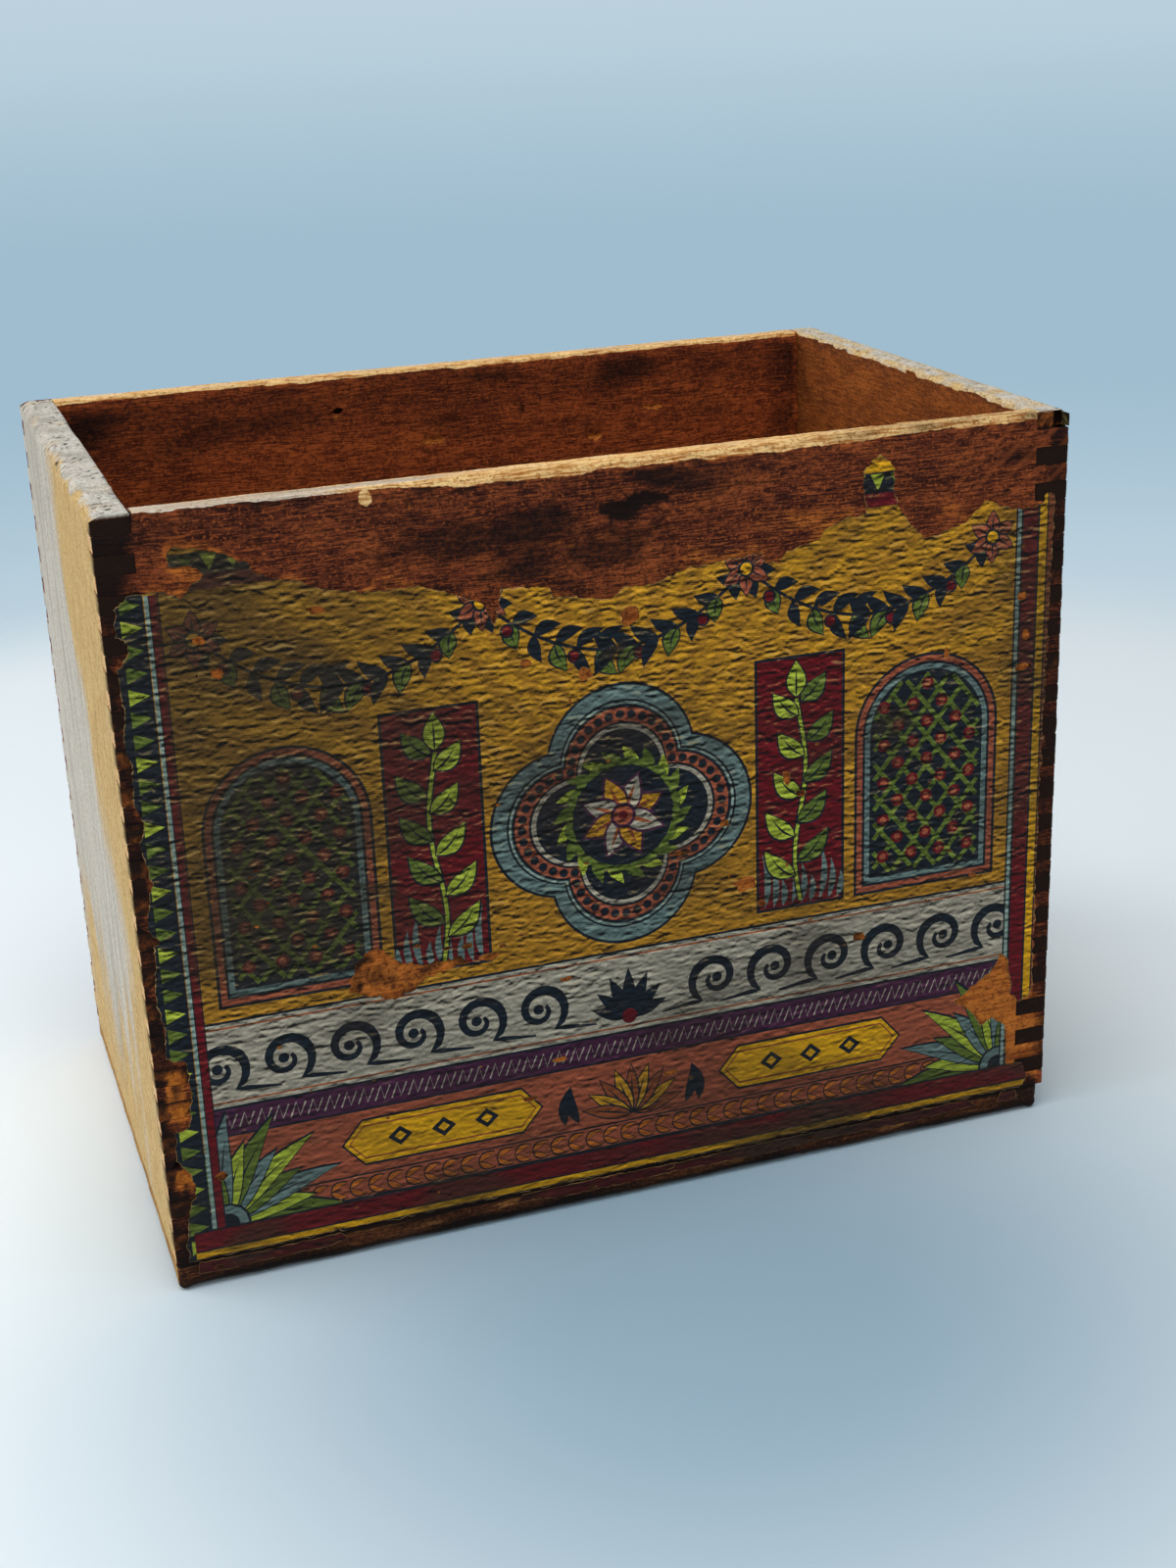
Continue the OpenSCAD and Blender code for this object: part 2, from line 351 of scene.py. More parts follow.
def flake(x, z, half_length, half_height, seed):
    turn = np.linspace(0, 2 * math.pi, 18, endpoint=False)
    swell = 1 + 0.55 * drift(1.3 * np.cos(turn), 1.3 * np.sin(turn), seed)
    return around(x, z, half_length * swell, half_height * swell, turn)


NAIL_HOLE = (4.4, 30.4, 1.1)
label_holes = [flake(*spot, 3.0 + 1.7 * number) for number, spot in enumerate(flakes)]
label_holes.append(ragged(peeled_strip, 0.6, 1.0, 2.0))
dice = random.Random(11)
for number in range(60):
    x, z = dice.uniform(12, 244), dice.uniform(4, 165)
    label_holes.append(flake(x, z, dice.uniform(0.25, 0.7), dice.uniform(0.2, 0.45), 90.0 + number))


def paper_gap(u, v):
    """Millimetres from places on the front board to the torn edge, less than zero under the paper."""
    spots = np.stack([u, v], axis=1)
    nearest = np.full(len(spots), 1e9)
    for corner in label_outline[::2]:
        nearest = np.minimum(nearest, np.hypot(*(spots - corner).T))
    return np.where(inside(label_outline, spots), -nearest, nearest)


# Boards

# Kinds of run round an upright board, the parts of a board, and how far apart points lie on each kind of run
RIM, FOOT, TIP, FLANK, SLOT = range(5)
OUTER, INNER, EDGE = range(3)
BOARD_CREASE = 45
STEP = {RIM: 0.9, FOOT: 3.0, TIP: 1.2, FLANK: 1.6, SLOT: 1.6}
# Rows of points round a worn arris, from the face at 0 to the edge at 1, and then across the edge
ARC_ROWS = (0.0, 0.2, 0.45, 0.7, 1.0)
# What turns says of a point that lies on the flat of an edge
WALL = 2.0
WALL_ROWS = (0.1, 0.2, 0.3, 0.4, 0.5, 0.6, 0.7, 0.8, 0.9)


def upright_outline(length, reach, first):
    """Corners of an upright board, anticlockwise, each with the kind of run that leaves it. Fingers lie at every
    second row from the row named first, and slots between them."""
    right, left = [], []
    for row in range(FINGERS):
        low, high = row * FINGER_H, (row + 1) * FINGER_H
        finger = row % 2 == first
        u = length if finger else length - reach
        right += [(u, low, TIP if finger else SLOT), (u, high, FLANK)]
        left = [(length - u, high, TIP if finger else SLOT), (length - u, low, FLANK)] + left
    right[-1] = right[-1][:2] + (RIM,)
    left[-1] = left[-1][:2] + (FOOT,)
    return right + left


def walk(corners):
    """Points along a closed outline: places, the inward normals of the runs that meet there, and their kinds."""
    places, own, other, kinds, other_kinds = [], [], [], [], []
    for here, ahead, behind in zip(corners, corners[1:] + corners[:1], corners[-1:] + corners[:-1]):
        run, run_before = np.subtract(ahead[:2], here[:2]), np.subtract(here[:2], behind[:2])
        normal, normal_before = left_of(run) / np.hypot(*run), left_of(run_before) / np.hypot(*run_before)
        count = max(1, round(np.hypot(*run) / STEP[here[2]]))
        for i in range(count):
            places.append(np.array(here[:2]) + run * i / count)
            own.append(normal)
            other.append(normal_before if i == 0 else 0 * normal)
            kinds.append(here[2])
            other_kinds.append(behind[2] if i == 0 else here[2])
    return tuple(np.array(column) for column in (places, own, other, kinds, other_kinds))


def splits(seed, length, count, longest, deepest):
    """Places along a rim where a splinter has broken out: start, length, depth and which end is blunt."""
    dice = random.Random(seed)
    return [(dice.uniform(0, length), dice.uniform(0.25, 1) * longest, dice.uniform(0.3, 1) * deepest,
             dice.random() < 0.5) for _ in range(count)]


def split_depth(runs, s):
    depth = np.zeros_like(s)
    for start, length, deep, blunt_end in runs:
        t = (s - start) / length
        t = 1 - t if blunt_end else t
        shape = np.where((t > 0) & (t < 1), np.minimum(1, t / 0.05) * np.clip(1 - t, 0, 1) ** 0.6, 0)
        depth = np.maximum(depth, deep * shape)
    return depth


def scatter(u0, v0, u1, v1, spacing, seed):
    """Loose points over a rectangle, about one every spacing."""
    dice = random.Random(seed)
    across, up = max(1, round((u1 - u0) / spacing)), max(1, round((v1 - v0) / spacing))
    return np.array([(u0 + (i + 0.5 + dice.uniform(-0.3, 0.3)) * (u1 - u0) / across,
                      v0 + (j + 0.5 + dice.uniform(-0.3, 0.3)) * (v1 - v0) / up)
                     for i in range(across) for j in range(up)])


def graded_points(body, spacing, fine_spacing, fine, seed):
    """Loose points over the body of a board, closer together in the places that need it."""
    coarse, close = scatter(*body, spacing, seed), scatter(*body, fine_spacing, seed + 1)
    return np.vstack([coarse[~fine(*coarse.T)], close[fine(*close.T)]])


class Mark:
    """A hole, dent or gouge in a face of a board. Dirt of less than zero shows fresh wood."""

    def __init__(self, face, u, v, half_length, half_height, deep, edge, dirt=1.2):
        self.face, self.u, self.v, self.dirt = face, u, v, dirt
        self.half_length, self.half_height = half_length, half_height
        self.deep, self.edge = deep, edge

    def reach(self, u, v):
        """0 in the middle of the mark and 1 at its edge."""
        du, dv = (u - self.u) / self.half_length, (v - self.v) / self.half_height
        return np.hypot(du, dv) * (1 + 0.35 * drift(1.6 * du, 1.6 * dv, self.u))

    def depth(self, u, v):
        return self.deep * (1 - smooth(1 - self.edge, 1, self.reach(u, v)))

    def points(self):
        rings = [np.array([(self.u, self.v)])]
        for share in (0.4, 1 - self.edge, 1 - self.edge / 2, 1.05):
            turn = np.linspace(0, 2 * math.pi, 14, endpoint=False)
            rings.append(around(self.u, self.v, share * self.half_length, share * self.half_height, turn))
        return np.vstack(rings)


def fill(ring, loose):
    """Triangles that fill a ring and pass through the loose points inside it, numbered ring first."""
    loose = loose[inside(ring, loose)]
    spots = [Vector(p) for p in np.vstack([ring, loose])]
    _, _, faces, source, _, _ = delaunay_2d_cdt(spots, [], [list(range(len(ring)))], 1, 1e-5)
    number = [names[0] for names in source]
    return loose, [[number[c] for c in face] for face in faces]


def build_board(replaced, corners, thickness, place, wear, rough, flat, loose, marks, finish, material):
    """A board with worn arrises: a worn profile goes round its outline, and its two faces are filled inside that. At
    flat 0 the profile is round and at 1 it is a chamfer."""
    spots, own, other, kinds, other_kinds = corners if isinstance(corners, tuple) else walk(corners)
    count = len(spots)
    u, v = spots.T
    drop, bite, drop_other = {}, {}, {}
    for face in (OUTER, INNER):
        drop[face], bite[face] = wear(u, v, kinds, face)
        drop_other[face], bite_other = wear(u, v, other_kinds, face)
        bite[face] = np.maximum(bite[face], bite_other)

    rings, depths, parts, turns = [], [], [], []
    rows = [(OUTER, a) for a in ARC_ROWS] + [(EDGE, t) for t in WALL_ROWS] + [(INNER, a) for a in ARC_ROWS[::-1]]
    for part, a in rows:
        if part == EDGE:
            ring = spots.copy()
            depth = bite[OUTER] + a * (thickness - bite[OUTER] - bite[INNER])
        else:
            turn = a * math.pi / 2
            inset = (1 - flat) * (1 - math.sin(turn)) + flat * (1 - a)
            sunk = (1 - flat) * (1 - math.cos(turn)) + flat * a
            ring = spots + inset * (own * drop[part][:, None] + other * drop_other[part][:, None])
            depth = bite[part] * sunk if part == OUTER else thickness - bite[part] * sunk
        if part == EDGE or a > 0:
            ring = ring + (own * rough(u, v, depth, kinds)[:, None]
                           + other * rough(u, v, depth, other_kinds)[:, None])
        rings.append(ring)
        depths.append(depth)
        parts.append(np.full(count, EDGE))
        turns.append(np.full(count, WALL if part == EDGE else a))

    faces = []
    for row in range(len(rows) - 1):
        for i in range(count):
            j = (i + 1) % count
            faces.append((row * count + i, row * count + j, (row + 1) * count + j, (row + 1) * count + i))
    total = len(rows) * count
    kind_rows = [kinds] * len(rows)
    for face, first in ((OUTER, 0), (INNER, (len(rows) - 1) * count)):
        extra = [loose[face]] + [m.points() for m in marks if m.face == face]
        filled, triangles = fill(rings[0] if face == OUTER else rings[len(rows) - 1], np.vstack(extra))
        sunk = np.zeros(len(filled))
        for mark in marks:
            if mark.face == face:
                sunk = np.maximum(sunk, mark.depth(*filled.T))
        rings.append(filled)
        depths.append(sunk if face == OUTER else thickness - sunk)
        parts.append(np.full(len(filled), face))
        turns.append(np.zeros(len(filled)))
        kind_rows.append(np.full(len(filled), -1))
        faces += [[first + c if c < count else total + c - count for c in t] for t in triangles]
        total += len(filled)

    u, v = np.vstack(rings).T
    w = np.concatenate(depths)
    state = finish(u, v, w, np.concatenate(parts), np.concatenate(kind_rows), np.concatenate(turns))
    mesh = new_mesh(replaced + "_worn", np.stack(place(u, v, w), axis=1), faces)
    form = bmesh.new()
    form.from_mesh(mesh)
    bmesh.ops.recalc_face_normals(form, faces=form.faces)
    form.to_mesh(mesh)
    form.free()
    store(mesh, "state", "FLOAT_COLOR", "POINT", np.clip(state, 0, 1))
    stand_for(mesh, material, replaced, BOARD_CREASE)


def rim_band(length, reach, deep):
    """The body of an upright board between its fingers, for loose points."""
    return (reach + 0.9, 1.2, length - reach - 0.9, SIDE_H - deep)


def below_rim(reach):
    """Says which places lie within reach of the rim."""
    return lambda u, v: v > SIDE_H - reach


FOOT_WEAR, LEAST_WEAR = 0.15, 0.06


def arris(kinds, drop, bite, rim_drop, rim_bite, least, deepest):
    """Wear of an arris: how far it drops along the face and bites into the edge, with its own amounts at the rim."""
    rim, foot = kinds == RIM, kinds == FOOT
    drop = np.where(rim, np.maximum(rim_drop, least), np.where(foot, FOOT_WEAR, drop))
    bite = np.where(rim, np.clip(rim_bite, least, deepest), np.where(foot, FOOT_WEAR, bite))
    return np.maximum(drop, LEAST_WEAR), np.maximum(bite, LEAST_WEAR)


def regions(w, parts, kinds, turns, thickness):
    """Where points lie: on the edges, the rim, the outer face with the arrises round it, or the inner face."""
    edge = parts == EDGE
    rim = edge & (kinds == RIM) & (turns > 0)
    outer = (parts == OUTER) | (edge & ~rim & (w < thickness / 2) & (turns < 0.5))
    return edge, rim, outer, parts == INNER


# Front board

front_splits = splits(3, BOX_W, 22, 60, 1.9)
front_splits_inner = splits(4, BOX_W, 12, 30, 0.8)


def front_wear(u, v, kinds, face):
    drop = 0.24 + 0.2 * drift(u / 1.9, v / 1.9, face + 0.5)
    lively = 0.3 + 0.7 * smooth(45, 95, u) - 0.45 * smooth(170, 220, u)
    if face == OUTER:
        split = lively * split_depth(front_splits, u)
        frayed = smooth(60, 110, u) * (1 - 0.3 * smooth(185, 225, u))
        rim_drop = 0.55 + 1.5 * frayed + 0.5 * drift(u / 8, 0.3) + 0.8 * split + 0.4 * drift(u / 1.3, 0.7)
        rim_bite = 0.4 + 0.2 * frayed + 0.3 * drift(u / 6, 1.3) + 0.4 * split
    else:
        split = split_depth(front_splits_inner, u)
        rim_drop = 0.35 + 0.25 * drift(u / 5, 2.3) + split
        rim_bite = 0.35 + 0.2 * drift(u / 4, 3.3) + 0.6 * split
    return arris(kinds, drop, drop + 0.04, rim_drop, rim_bite, 0.1, 2.4)


def side_rough(u, v, w, kinds):
    rim = 0.10 + 0.12 * drift(u / 9, w / 0.7, 4.1) + 0.10 * drift(u / 1.4, w / 0.5, 5.2)
    row = np.floor(v / FINGER_H)
    ragged_end = np.where(u < BOX_W / 2, 0.35, 1.1)
    tip = ragged_end * (0.22 + 0.25 * drift(row * 7.31, 0.4 + u / 100, 0.9) + 0.12 * drift(v / 1.1, w / 1.1, 6.3))
    return np.maximum(0, np.where(kinds == RIM, rim, np.where(kinds == TIP, tip, 0)))


front_marks = [Mark(OUTER, *form) for form in (
    (129.8, 187, 6.2, 2.9, 0.4, 0.5, 1.35), (136.4, 189.2, 6.4, 2.1, 0.45, 0.5, 1.35),
    (238, 179.5, 1.7, 1.5, 0.25, 0.8, 0.55), (117, 179.5, 2.6, 0.45, 0.15, 0.7, -0.5),
    (113.5, 181, 1.8, 0.4, 0.15, 0.7, -0.45), (76, 194, 0.9, 0.7, 0.2, 0.7, -0.55),
    (187, 186, 2.6, 0.5, 0.15, 0.7, 0.7), (*NAIL_HOLE, NAIL_HOLE[2], 3.0, 0.12))]
# A drop of pale size that has dried on the arris: its middle, then its half width and half height
DROP, DROP_HALF = (65.0, 197.3), (1.6, 2.0)
# Spots with their middle, half width and half height: where the left corner is rubbed bare, where grime has come off
# with the paper above its torn edge, and where the wood is stained darkest
rubbed_spots = [(5.2, 48.5, 3.6, 9.5), (5.0, 25.0, 3.6, 5.0)]
lifted_spots = [(24, 184, 22, 9), (107, 168, 9, 7), (150, 172, 14, 6), (180, 179, 26, 9), (222, 176, 12, 6)]
stained_spots = [(88, 184, 34, 8), (125, 178, 24, 9), (240, 189, 9, 5)]


def in_spots(spots, x, z, hard, torn_x, torn_z):
    """How far places lie within a list of spots with torn edges, 0 to 1."""
    share = np.zeros_like(x)
    for middle_x, middle_z, half_x, half_z in spots:
        reach = np.hypot((x - middle_x) / half_x, (z - middle_z) / half_z)
        share = np.maximum(share, 1 - smooth(hard, 1.1, reach + 0.4 * drift(x / torn_x, z / torn_z, 12.0)))
    return share


def rubbed_bare(x, z):
    return in_spots(rubbed_spots, x, z, 0.6, 1.5, 1.5)


def front_finish(u, v, w, parts, kinds, turns):
    edge, rim, face, inner = regions(w, parts, kinds, turns, SIDE_T)
    outside, left = w < SIDE_T / 2, u < BOX_W / 2
    gap = np.full(len(u), 99.0)
    gap[face] = paper_gap(u[face], v[face])
    hem = smooth(4, 7, u + 1.6 * drift(v / 4, 1.1))
    hem = hem * np.maximum(1 - smooth(249, 251.5, u), 1 - smooth(25, 28, v))
    # A thin layer of wood has come away with the paper along its torn edge, here and there
    fringe = 1.0 + 7.0 * smooth(0.0, 0.45, drift(u / 15, 2.2)) + 4.0 * drift(u / 2.6, v / 2.6, 3.0)
    peeled = 1 - smooth(-0.3, np.maximum(fringe, 0.4), gap)
    lifted = in_spots(lifted_spots, u, v, 0.1, 9, 3.5)
    under = 0.42 + (0.3 + 0.5 * drift(u / 4, v / 1.8, 3.7)) * smooth(0.5, 2.5, -gap)
    fresh = np.where(face, np.where(gap < 0.15, under, np.maximum(0.52 * peeled, 0.45 * lifted)) * hem, 0)
    rubbed = np.where(face, rubbed_bare(u, v), 0)
    fresh = np.maximum(fresh, 0.75 * rubbed)
    open_corner = face & inside(bare_corner, np.stack([u, v], axis=1))
    stripped = (0.85 + 0.6 * drift(u / 3, v / 1.3, 3.8)) * (1 - 0.5 * smooth(250, 256, u))
    fresh = np.where(open_corner, stripped, fresh)
    corner = (1 - smooth(3, 12, u + 3 * drift(v / 4, 1.7))) * smooth(160, 185, v)
    left_part = 1 - smooth(140, 178, u)
    stain = smooth(0.0, 0.45, drift(u / 24, v / 9, 8.0)) * (0.12 + 0.4 * left_part) + 0.27 * left_part
    stain *= 0.5 + 0.5 * smooth(30, 60, u)
    stain = np.maximum(stain, 0.68 * in_spots(stained_spots, u, v, 0.25, 5, 2.6))
    # Painted shade: the outer face is darkened for about 3.5 mm below the rim, where the rim's worn arris would shade
    # it
    painted_shade_under_rim = 0.18 * np.exp(-((SIDE_H - v) / 3.5) ** 2)
    darkening = np.where(face, (0.95 * corner + stain + painted_shade_under_rim) * (1 - fresh), 0.25)
    for mark in front_marks:
        share = np.where(face, 1 - smooth(0.6, 1.1, mark.reach(u, v)), 0)
        darkening, fresh = np.maximum(darkening, mark.dirt * share), np.maximum(fresh, -mark.dirt * share)
    margin = (0.85 - 0.15 * smooth(248, 250, u) + 0.4 * drift(v / 5, 4.4)) * (1 - fresh)
    darkening = np.where(face & (gap > 0) & (hem < 0.5), np.maximum(darkening, margin), darkening)
    darkening = np.where(rubbed > 0.3, 0.3 + 0.7 * drift(u / 2, v / 2, 3.4), darkening)
    darkening = np.where(face & (gap < -0.5), 0.42 + 0.7 * drift(u / 3, v / 1.6, 3.6), darkening)
    stripped = 0.15 + 0.5 * drift(u / 3, v / 2, 3.9) + 0.45 * smooth(249, 256, u)
    darkening = np.where(open_corner, stripped, darkening)

    # The rim: splintered to orange and straw on its outer arris, and bleached on top towards the left
    lively = 0.25 + 0.75 * smooth(45, 95, u)
    splinter, top = rim & outside & (turns < WALL), rim & (turns == WALL)
    rounding = smooth(0.4, 1.0, turns)
    worn = np.where(splinter, np.maximum(0.42 + 0.16 * lively, 0.85 * rounding), np.where(rim, 0.85, 0))
    orange = (0.72 + 0.6 * drift(u / 7, w / 0.8, 9.4)) * smooth(50, 90, u)
    fresh = np.where(splinter, orange * (1 - 0.7 * rounding), fresh)
    bleached = np.where(top, 0.8 + 0.3 * drift(u / 14, w / 2, 9.0) - 0.6 * smooth(60, 110, u), 0)
    bleached = np.where(splinter, 0.8 * (1 - smooth(40, 75, u)), bleached)
    darkening = np.where(rim, smooth(150, 215, u) * (0.38 + 0.4 * drift(u / 8, w / 2, 9.7)), darkening)
    darkening = np.where(splinter, np.maximum(darkening, -0.2 + 0.75 * drift(u / 5, w / 0.7, 9.8)), darkening)
    # Painted shade: a dark, broken line along the foot of the rim's worn outer arris, standing in for the shadow in a
    # groove under its splinters
    painted_groove_shadow = edge & (kinds == RIM) & outside & (turns == 0)
    darkening = np.where(painted_groove_shadow, 0.3 + 1.1 * drift(u / 7, 0.2), darkening)
    darkening = np.where(edge & (kinds == FOOT) & outside, 1.0, darkening)
    reach = np.hypot((u - DROP[0]) / DROP_HALF[0], (v - DROP[1]) / DROP_HALF[1])
    drop = (1 - smooth(0.8, 1.2, reach + 0.15 * drift(u, v, 13.0))) * (w < 2)
    worn, bleached, fresh = np.maximum(worn, drop), np.where(drop > 0.5, 0.0, bleached), fresh * (1 - drop)
    darkening = darkening * (1 - drop)
    tip = edge & (kinds == TIP) & ~face
    worn = np.where(tip, np.where(left, 0.8, 0.3), worn)
    bleached = np.where(tip & left, 0.35, bleached)
    joint = np.where(tip, np.where(left, 0.05, 0.45), np.where(w < 3, 0.9, 0.4))
    darkening = np.where(edge & ~rim & ~face, joint, darkening)
    darkening = np.where(inner, 0.08 + 0.3 * smooth(0.0, 0.5, drift(u / 30, v / 18, 10.0)), darkening)
    return np.stack([worn, bleached, fresh, darkening], axis=1)


def front_loose():
    def bare(u, v):
        return (v > 158) | ((u > 48) & (u < 90) & (v > 60) & (v < 85)) | ((u > 222) & (v < 48))
    body = rim_band(BOX_W, END_T, 3.4)
    drop = scatter(DROP[0] - 3, DROP[1] - 3, DROP[0] + 3, DROP[1] + 1.2, 0.45, 22)
    return {OUTER: np.vstack([graded_points(body, 6.0, 1.8, bare, 21), drop]),
            INNER: graded_points(body, 6.0, 2.2, below_rim(12), 23)}


side_outline = upright_outline(BOX_W, END_T, 0)
build_board("front_board", side_outline, SIDE_T,
            lambda u, v, w: (front_low[0] + u, FRONT_Y + w, SEAM_Z + v),
            front_wear, side_rough, 0.55, front_loose(), front_marks, front_finish, front_wood)

# Back board, seen from behind with u from its right

back_splits = splits(8, BOX_W, 20, 34, 1.6)


def back_wear(u, v, kinds, face):
    drop = 0.24 + 0.2 * drift((BOX_W - u) / 1.9, (v + 31) / 1.9, face + 0.5)
    split = split_depth(back_splits, u) * 0.5
    rim_drop = (1.0 if face == INNER else 0.3) + 0.35 * drift(u / 5, face + 4.3) + split + 0.25 * drift(u / 1.4, 7.3)
    rim_bite = 0.4 + 0.25 * drift(u / 4, face + 6.3) + 0.7 * split
    return arris(kinds, drop, drop + 0.04, rim_drop, rim_bite, 0.12, 2.2)


back_marks = [Mark(INNER, BOX_W - from_left, *form) for from_left, *form in (
    (93.5, 189, 1.5, 1.1, 2.2, 0.25), (123, 177, 4.5, 1.2, 0.4, 0.6, -0.95), (13.5, 186.5, 2.2, 0.8, 0.8, 0.5),
    (176, 173, 2.8, 1.1, 0.4, 0.6, -0.9), (196, 180.5, 3.2, 0.9, 0.3, 0.6, -0.85), (152, 184, 1.3, 2.6, 0.1, 0.9, 0.6))]


def back_finish(u, v, w, parts, kinds, turns):
    edge, rim, _, inner = regions(w, parts, kinds, turns, SIDE_T)
    stain = smooth(0.0, 0.5, drift(u / 28, v / 12, 14.0)) * 0.3
    shade = 0.42 * smooth(SIDE_H - 34, SIDE_H - 4, v) + 0.3 * (1 - smooth(10, 24, u))
    shade = shade + 0.14 * smooth(BOX_W - 60, BOX_W - 10, u)
    handled = smooth(0.1, 0.5, drift(u / 40, v / 20, 16.0)) + 0.7 * (1 - smooth(0, 30, np.minimum(v, SIDE_H - v)))
    darkening = np.where(inner, stain + shade, 0.5 * stain + 0.3 * handled)
    scuffed = smooth(0.18, 0.4, drift(u / 16, v / 5, 17.0)) * smooth(0.05, 0.3, drift(u / 60, v / 40, 18.0))
    fresh = np.where(parts == OUTER, 0.5 * scuffed, 0)
    for mark in back_marks:
        share = np.where(inner, 1 - smooth(0.7, 1.1, mark.reach(u, v)), 0)
        darkening, fresh = np.maximum(darkening, min(mark.dirt, 1) * share), np.maximum(fresh, -mark.dirt * share)
        lip = np.hypot(u - mark.u, 3 * (v - mark.v + 1.6)) / 4
        fresh = np.where(inner & (mark.dirt > 1), np.maximum(fresh, 0.8 * (1 - smooth(0.2, 0.8, lip))), fresh)
    top, splinter = rim & (turns == WALL), rim & (turns < WALL)
    worn = np.where(splinter, 0.6, np.where(rim, 0.85, 0))
    bleached = np.where(top, 0.3 + 0.5 * drift(u / 16, w / 2, 15.0), 0)
    fresh = np.where(splinter, 0.7 + 0.5 * drift(u / 9, w / 0.8, 15.5), fresh)
    darkening = np.where(rim, 0.05, np.where(edge & (turns == WALL), 0.4, darkening))
    return np.stack([worn, bleached, fresh, darkening], axis=1)


def back_loose():
    body = rim_band(BOX_W, END_T, 3.4)
    return {OUTER: graded_points(body, 6.0, 2.2, below_rim(12), 31),
            INNER: graded_points(body, 5.0, 2.0, below_rim(30), 33)}


build_board("back_board", side_outline, SIDE_T,
            lambda u, v, w: (front_high[0] - u, back_high[1] - w, SEAM_Z + v),
            back_wear, side_rough, 0.5, back_loose(), back_marks, back_finish, back_wood)

# End boards: on the left one u runs from the back, on the right one from the front

# Deepest that the rim of an end board is worn
END_BITE = 4.0
left_splits, right_splits = splits(13, BOX_D, 6, 30, 0.8), splits(14, BOX_D, 24, 22, 1.7)


def end_wear(u, v, kinds, face, runs, round_out, round_in):
    drop = 0.26 + 0.2 * drift(u / 1.9, v / 1.9, face + 8.5)
    split = split_depth(runs, u) * (1.0 if face == INNER else 0.3)
    size = round_out if face == OUTER else round_in
    rim_drop = size * (1 + 0.3 * drift(u / 11, face + 9.3)) + split + 0.2 * drift(u / 1.5, face + 10.3)
    rim_bite = size * (1 + 0.3 * drift(u / 9, face + 11.3)) + 0.8 * split
    return arris(kinds, drop, drop + 0.05, rim_drop, rim_bite, 0.12, END_BITE)


def rim_pits(u, w):
    """Small pits that are torn out of the end grain and of the soft wood of a rim, 0 to 1."""
    return smooth(0.22, 0.5, drift(u / 1.7, w / 1.5, 20.1)) * smooth(-0.35, 0.2, drift(u / 14, w / 6, 20.6))


def end_rough(u, v, w, kinds):
    rim = 0.10 + 0.10 * drift(u / 1.1, w / 1.1, 21.2) + 0.4 * rim_pits(u, w)
    row = np.floor(v / FINGER_H)
    tip = 0.22 + 0.25 * drift(row * 5.17, 0.2 + u / 90, 2.9) + 0.14 * drift(v / 1.0, w / 1.2, 22.3)
    return np.maximum(0, np.where(kinds == RIM, rim, np.where(kinds == TIP, tip, 0)))


def left_rough(u, v, w, kinds):
    return np.where(kinds == TIP, 0.4, 1.0) * end_rough(u, v, w, kinds)


def end_state(u, v, w, parts, kinds, turns, front_u, pale, fading):
    """State of an end board. front_u is the end of the board that meets the front, pale is how bleached the board is,
    and over fading millimetres its straw band turns grey."""
    edge, rim, outer, inner = regions(w, parts, kinds, turns, END_T)
    from_front = np.abs(u - front_u)
    band = 34 + 52 * smooth(70, 170, v)
    straw = 1 - smooth(-fading / 2, fading / 2, from_front - band + 22 * drift(v / 40, u / 25, 30.0))
    low = 1 - smooth(0, 75, v + 45 * drift(u / 14, v / 80, 31.0))
    straw = np.maximum(straw, 0.9 * low)
    worn = np.where(rim, 0.7, np.where(outer, 0.75 + 0.25 * straw, 0))
    on_arris = 1 - smooth(0.3, 0.9, turns + 0.7 * drift(u / 5, w / 2, 35.5))
    grey = (0.8 + 0.4 * drift(u / 9, w / 4, 35.0)) * (1 - 0.8 * straw * on_arris * (w < END_T / 2))
    bleached = np.where(outer, pale * (1 - 0.9 * straw) + 0.35 * drift(u / 7, v / 60, 32.0), 0)
    bleached = np.where(rim, grey, bleached)
    # Dust in random clouds, and painted shade darkening the outer face towards its front corner
    dust_and_corner_shade = 0.2 * smooth(0.1, 0.5, drift(u / 12, v / 40, 33.0)) + 0.62 * (1 - smooth(0.5, 8, from_front))
    darkening = np.where(outer, dust_and_corner_shade, 0)
    # Random stains inside, and painted shade: darker towards the inside corner at the back board and towards the rim
    stains_and_inner_shade = 0.3 * smooth(0.0, 0.5, drift(u / 8, v / 30, 34.0))
    stains_and_inner_shade = stains_and_inner_shade + 0.35 * smooth(BOX_D - 24, BOX_D - 6, from_front) + 0.12 * smooth(SIDE_H - 14, SIDE_H, v)
    darkening = np.where(inner, stains_and_inner_shade, darkening)
    darkening = np.where(rim, 0.85 * rim_pits(u, w) + 0.2, darkening)
    near_front = from_front < 3
    tip = edge & (kinds == TIP) & near_front & ~outer
    dirty = 0.78 + 0.25 * drift(v / 9, 39.0) + 0.45 * drift(v / 1.6, w / 2.4, 39.5) + 0.6 * smooth(150, 176, v)
    joint = edge & ~rim & ~outer
    darkening = np.where(tip, dirty, np.where(joint, np.where(near_front, 0.9, 0.4), darkening))
    return worn, bleached, darkening, rim, tip


def left_finish(u, v, w, parts, kinds, turns):
    worn, bleached, darkening, _, tip = end_state(u, v, w, parts, kinds, turns, BOX_D, 0.85, 28)
    rubbed = np.where(tip, rubbed_bare(w, v), 0)
    return np.stack([worn, bleached, 0.8 * rubbed, darkening * (1 - 0.8 * rubbed)], axis=1)


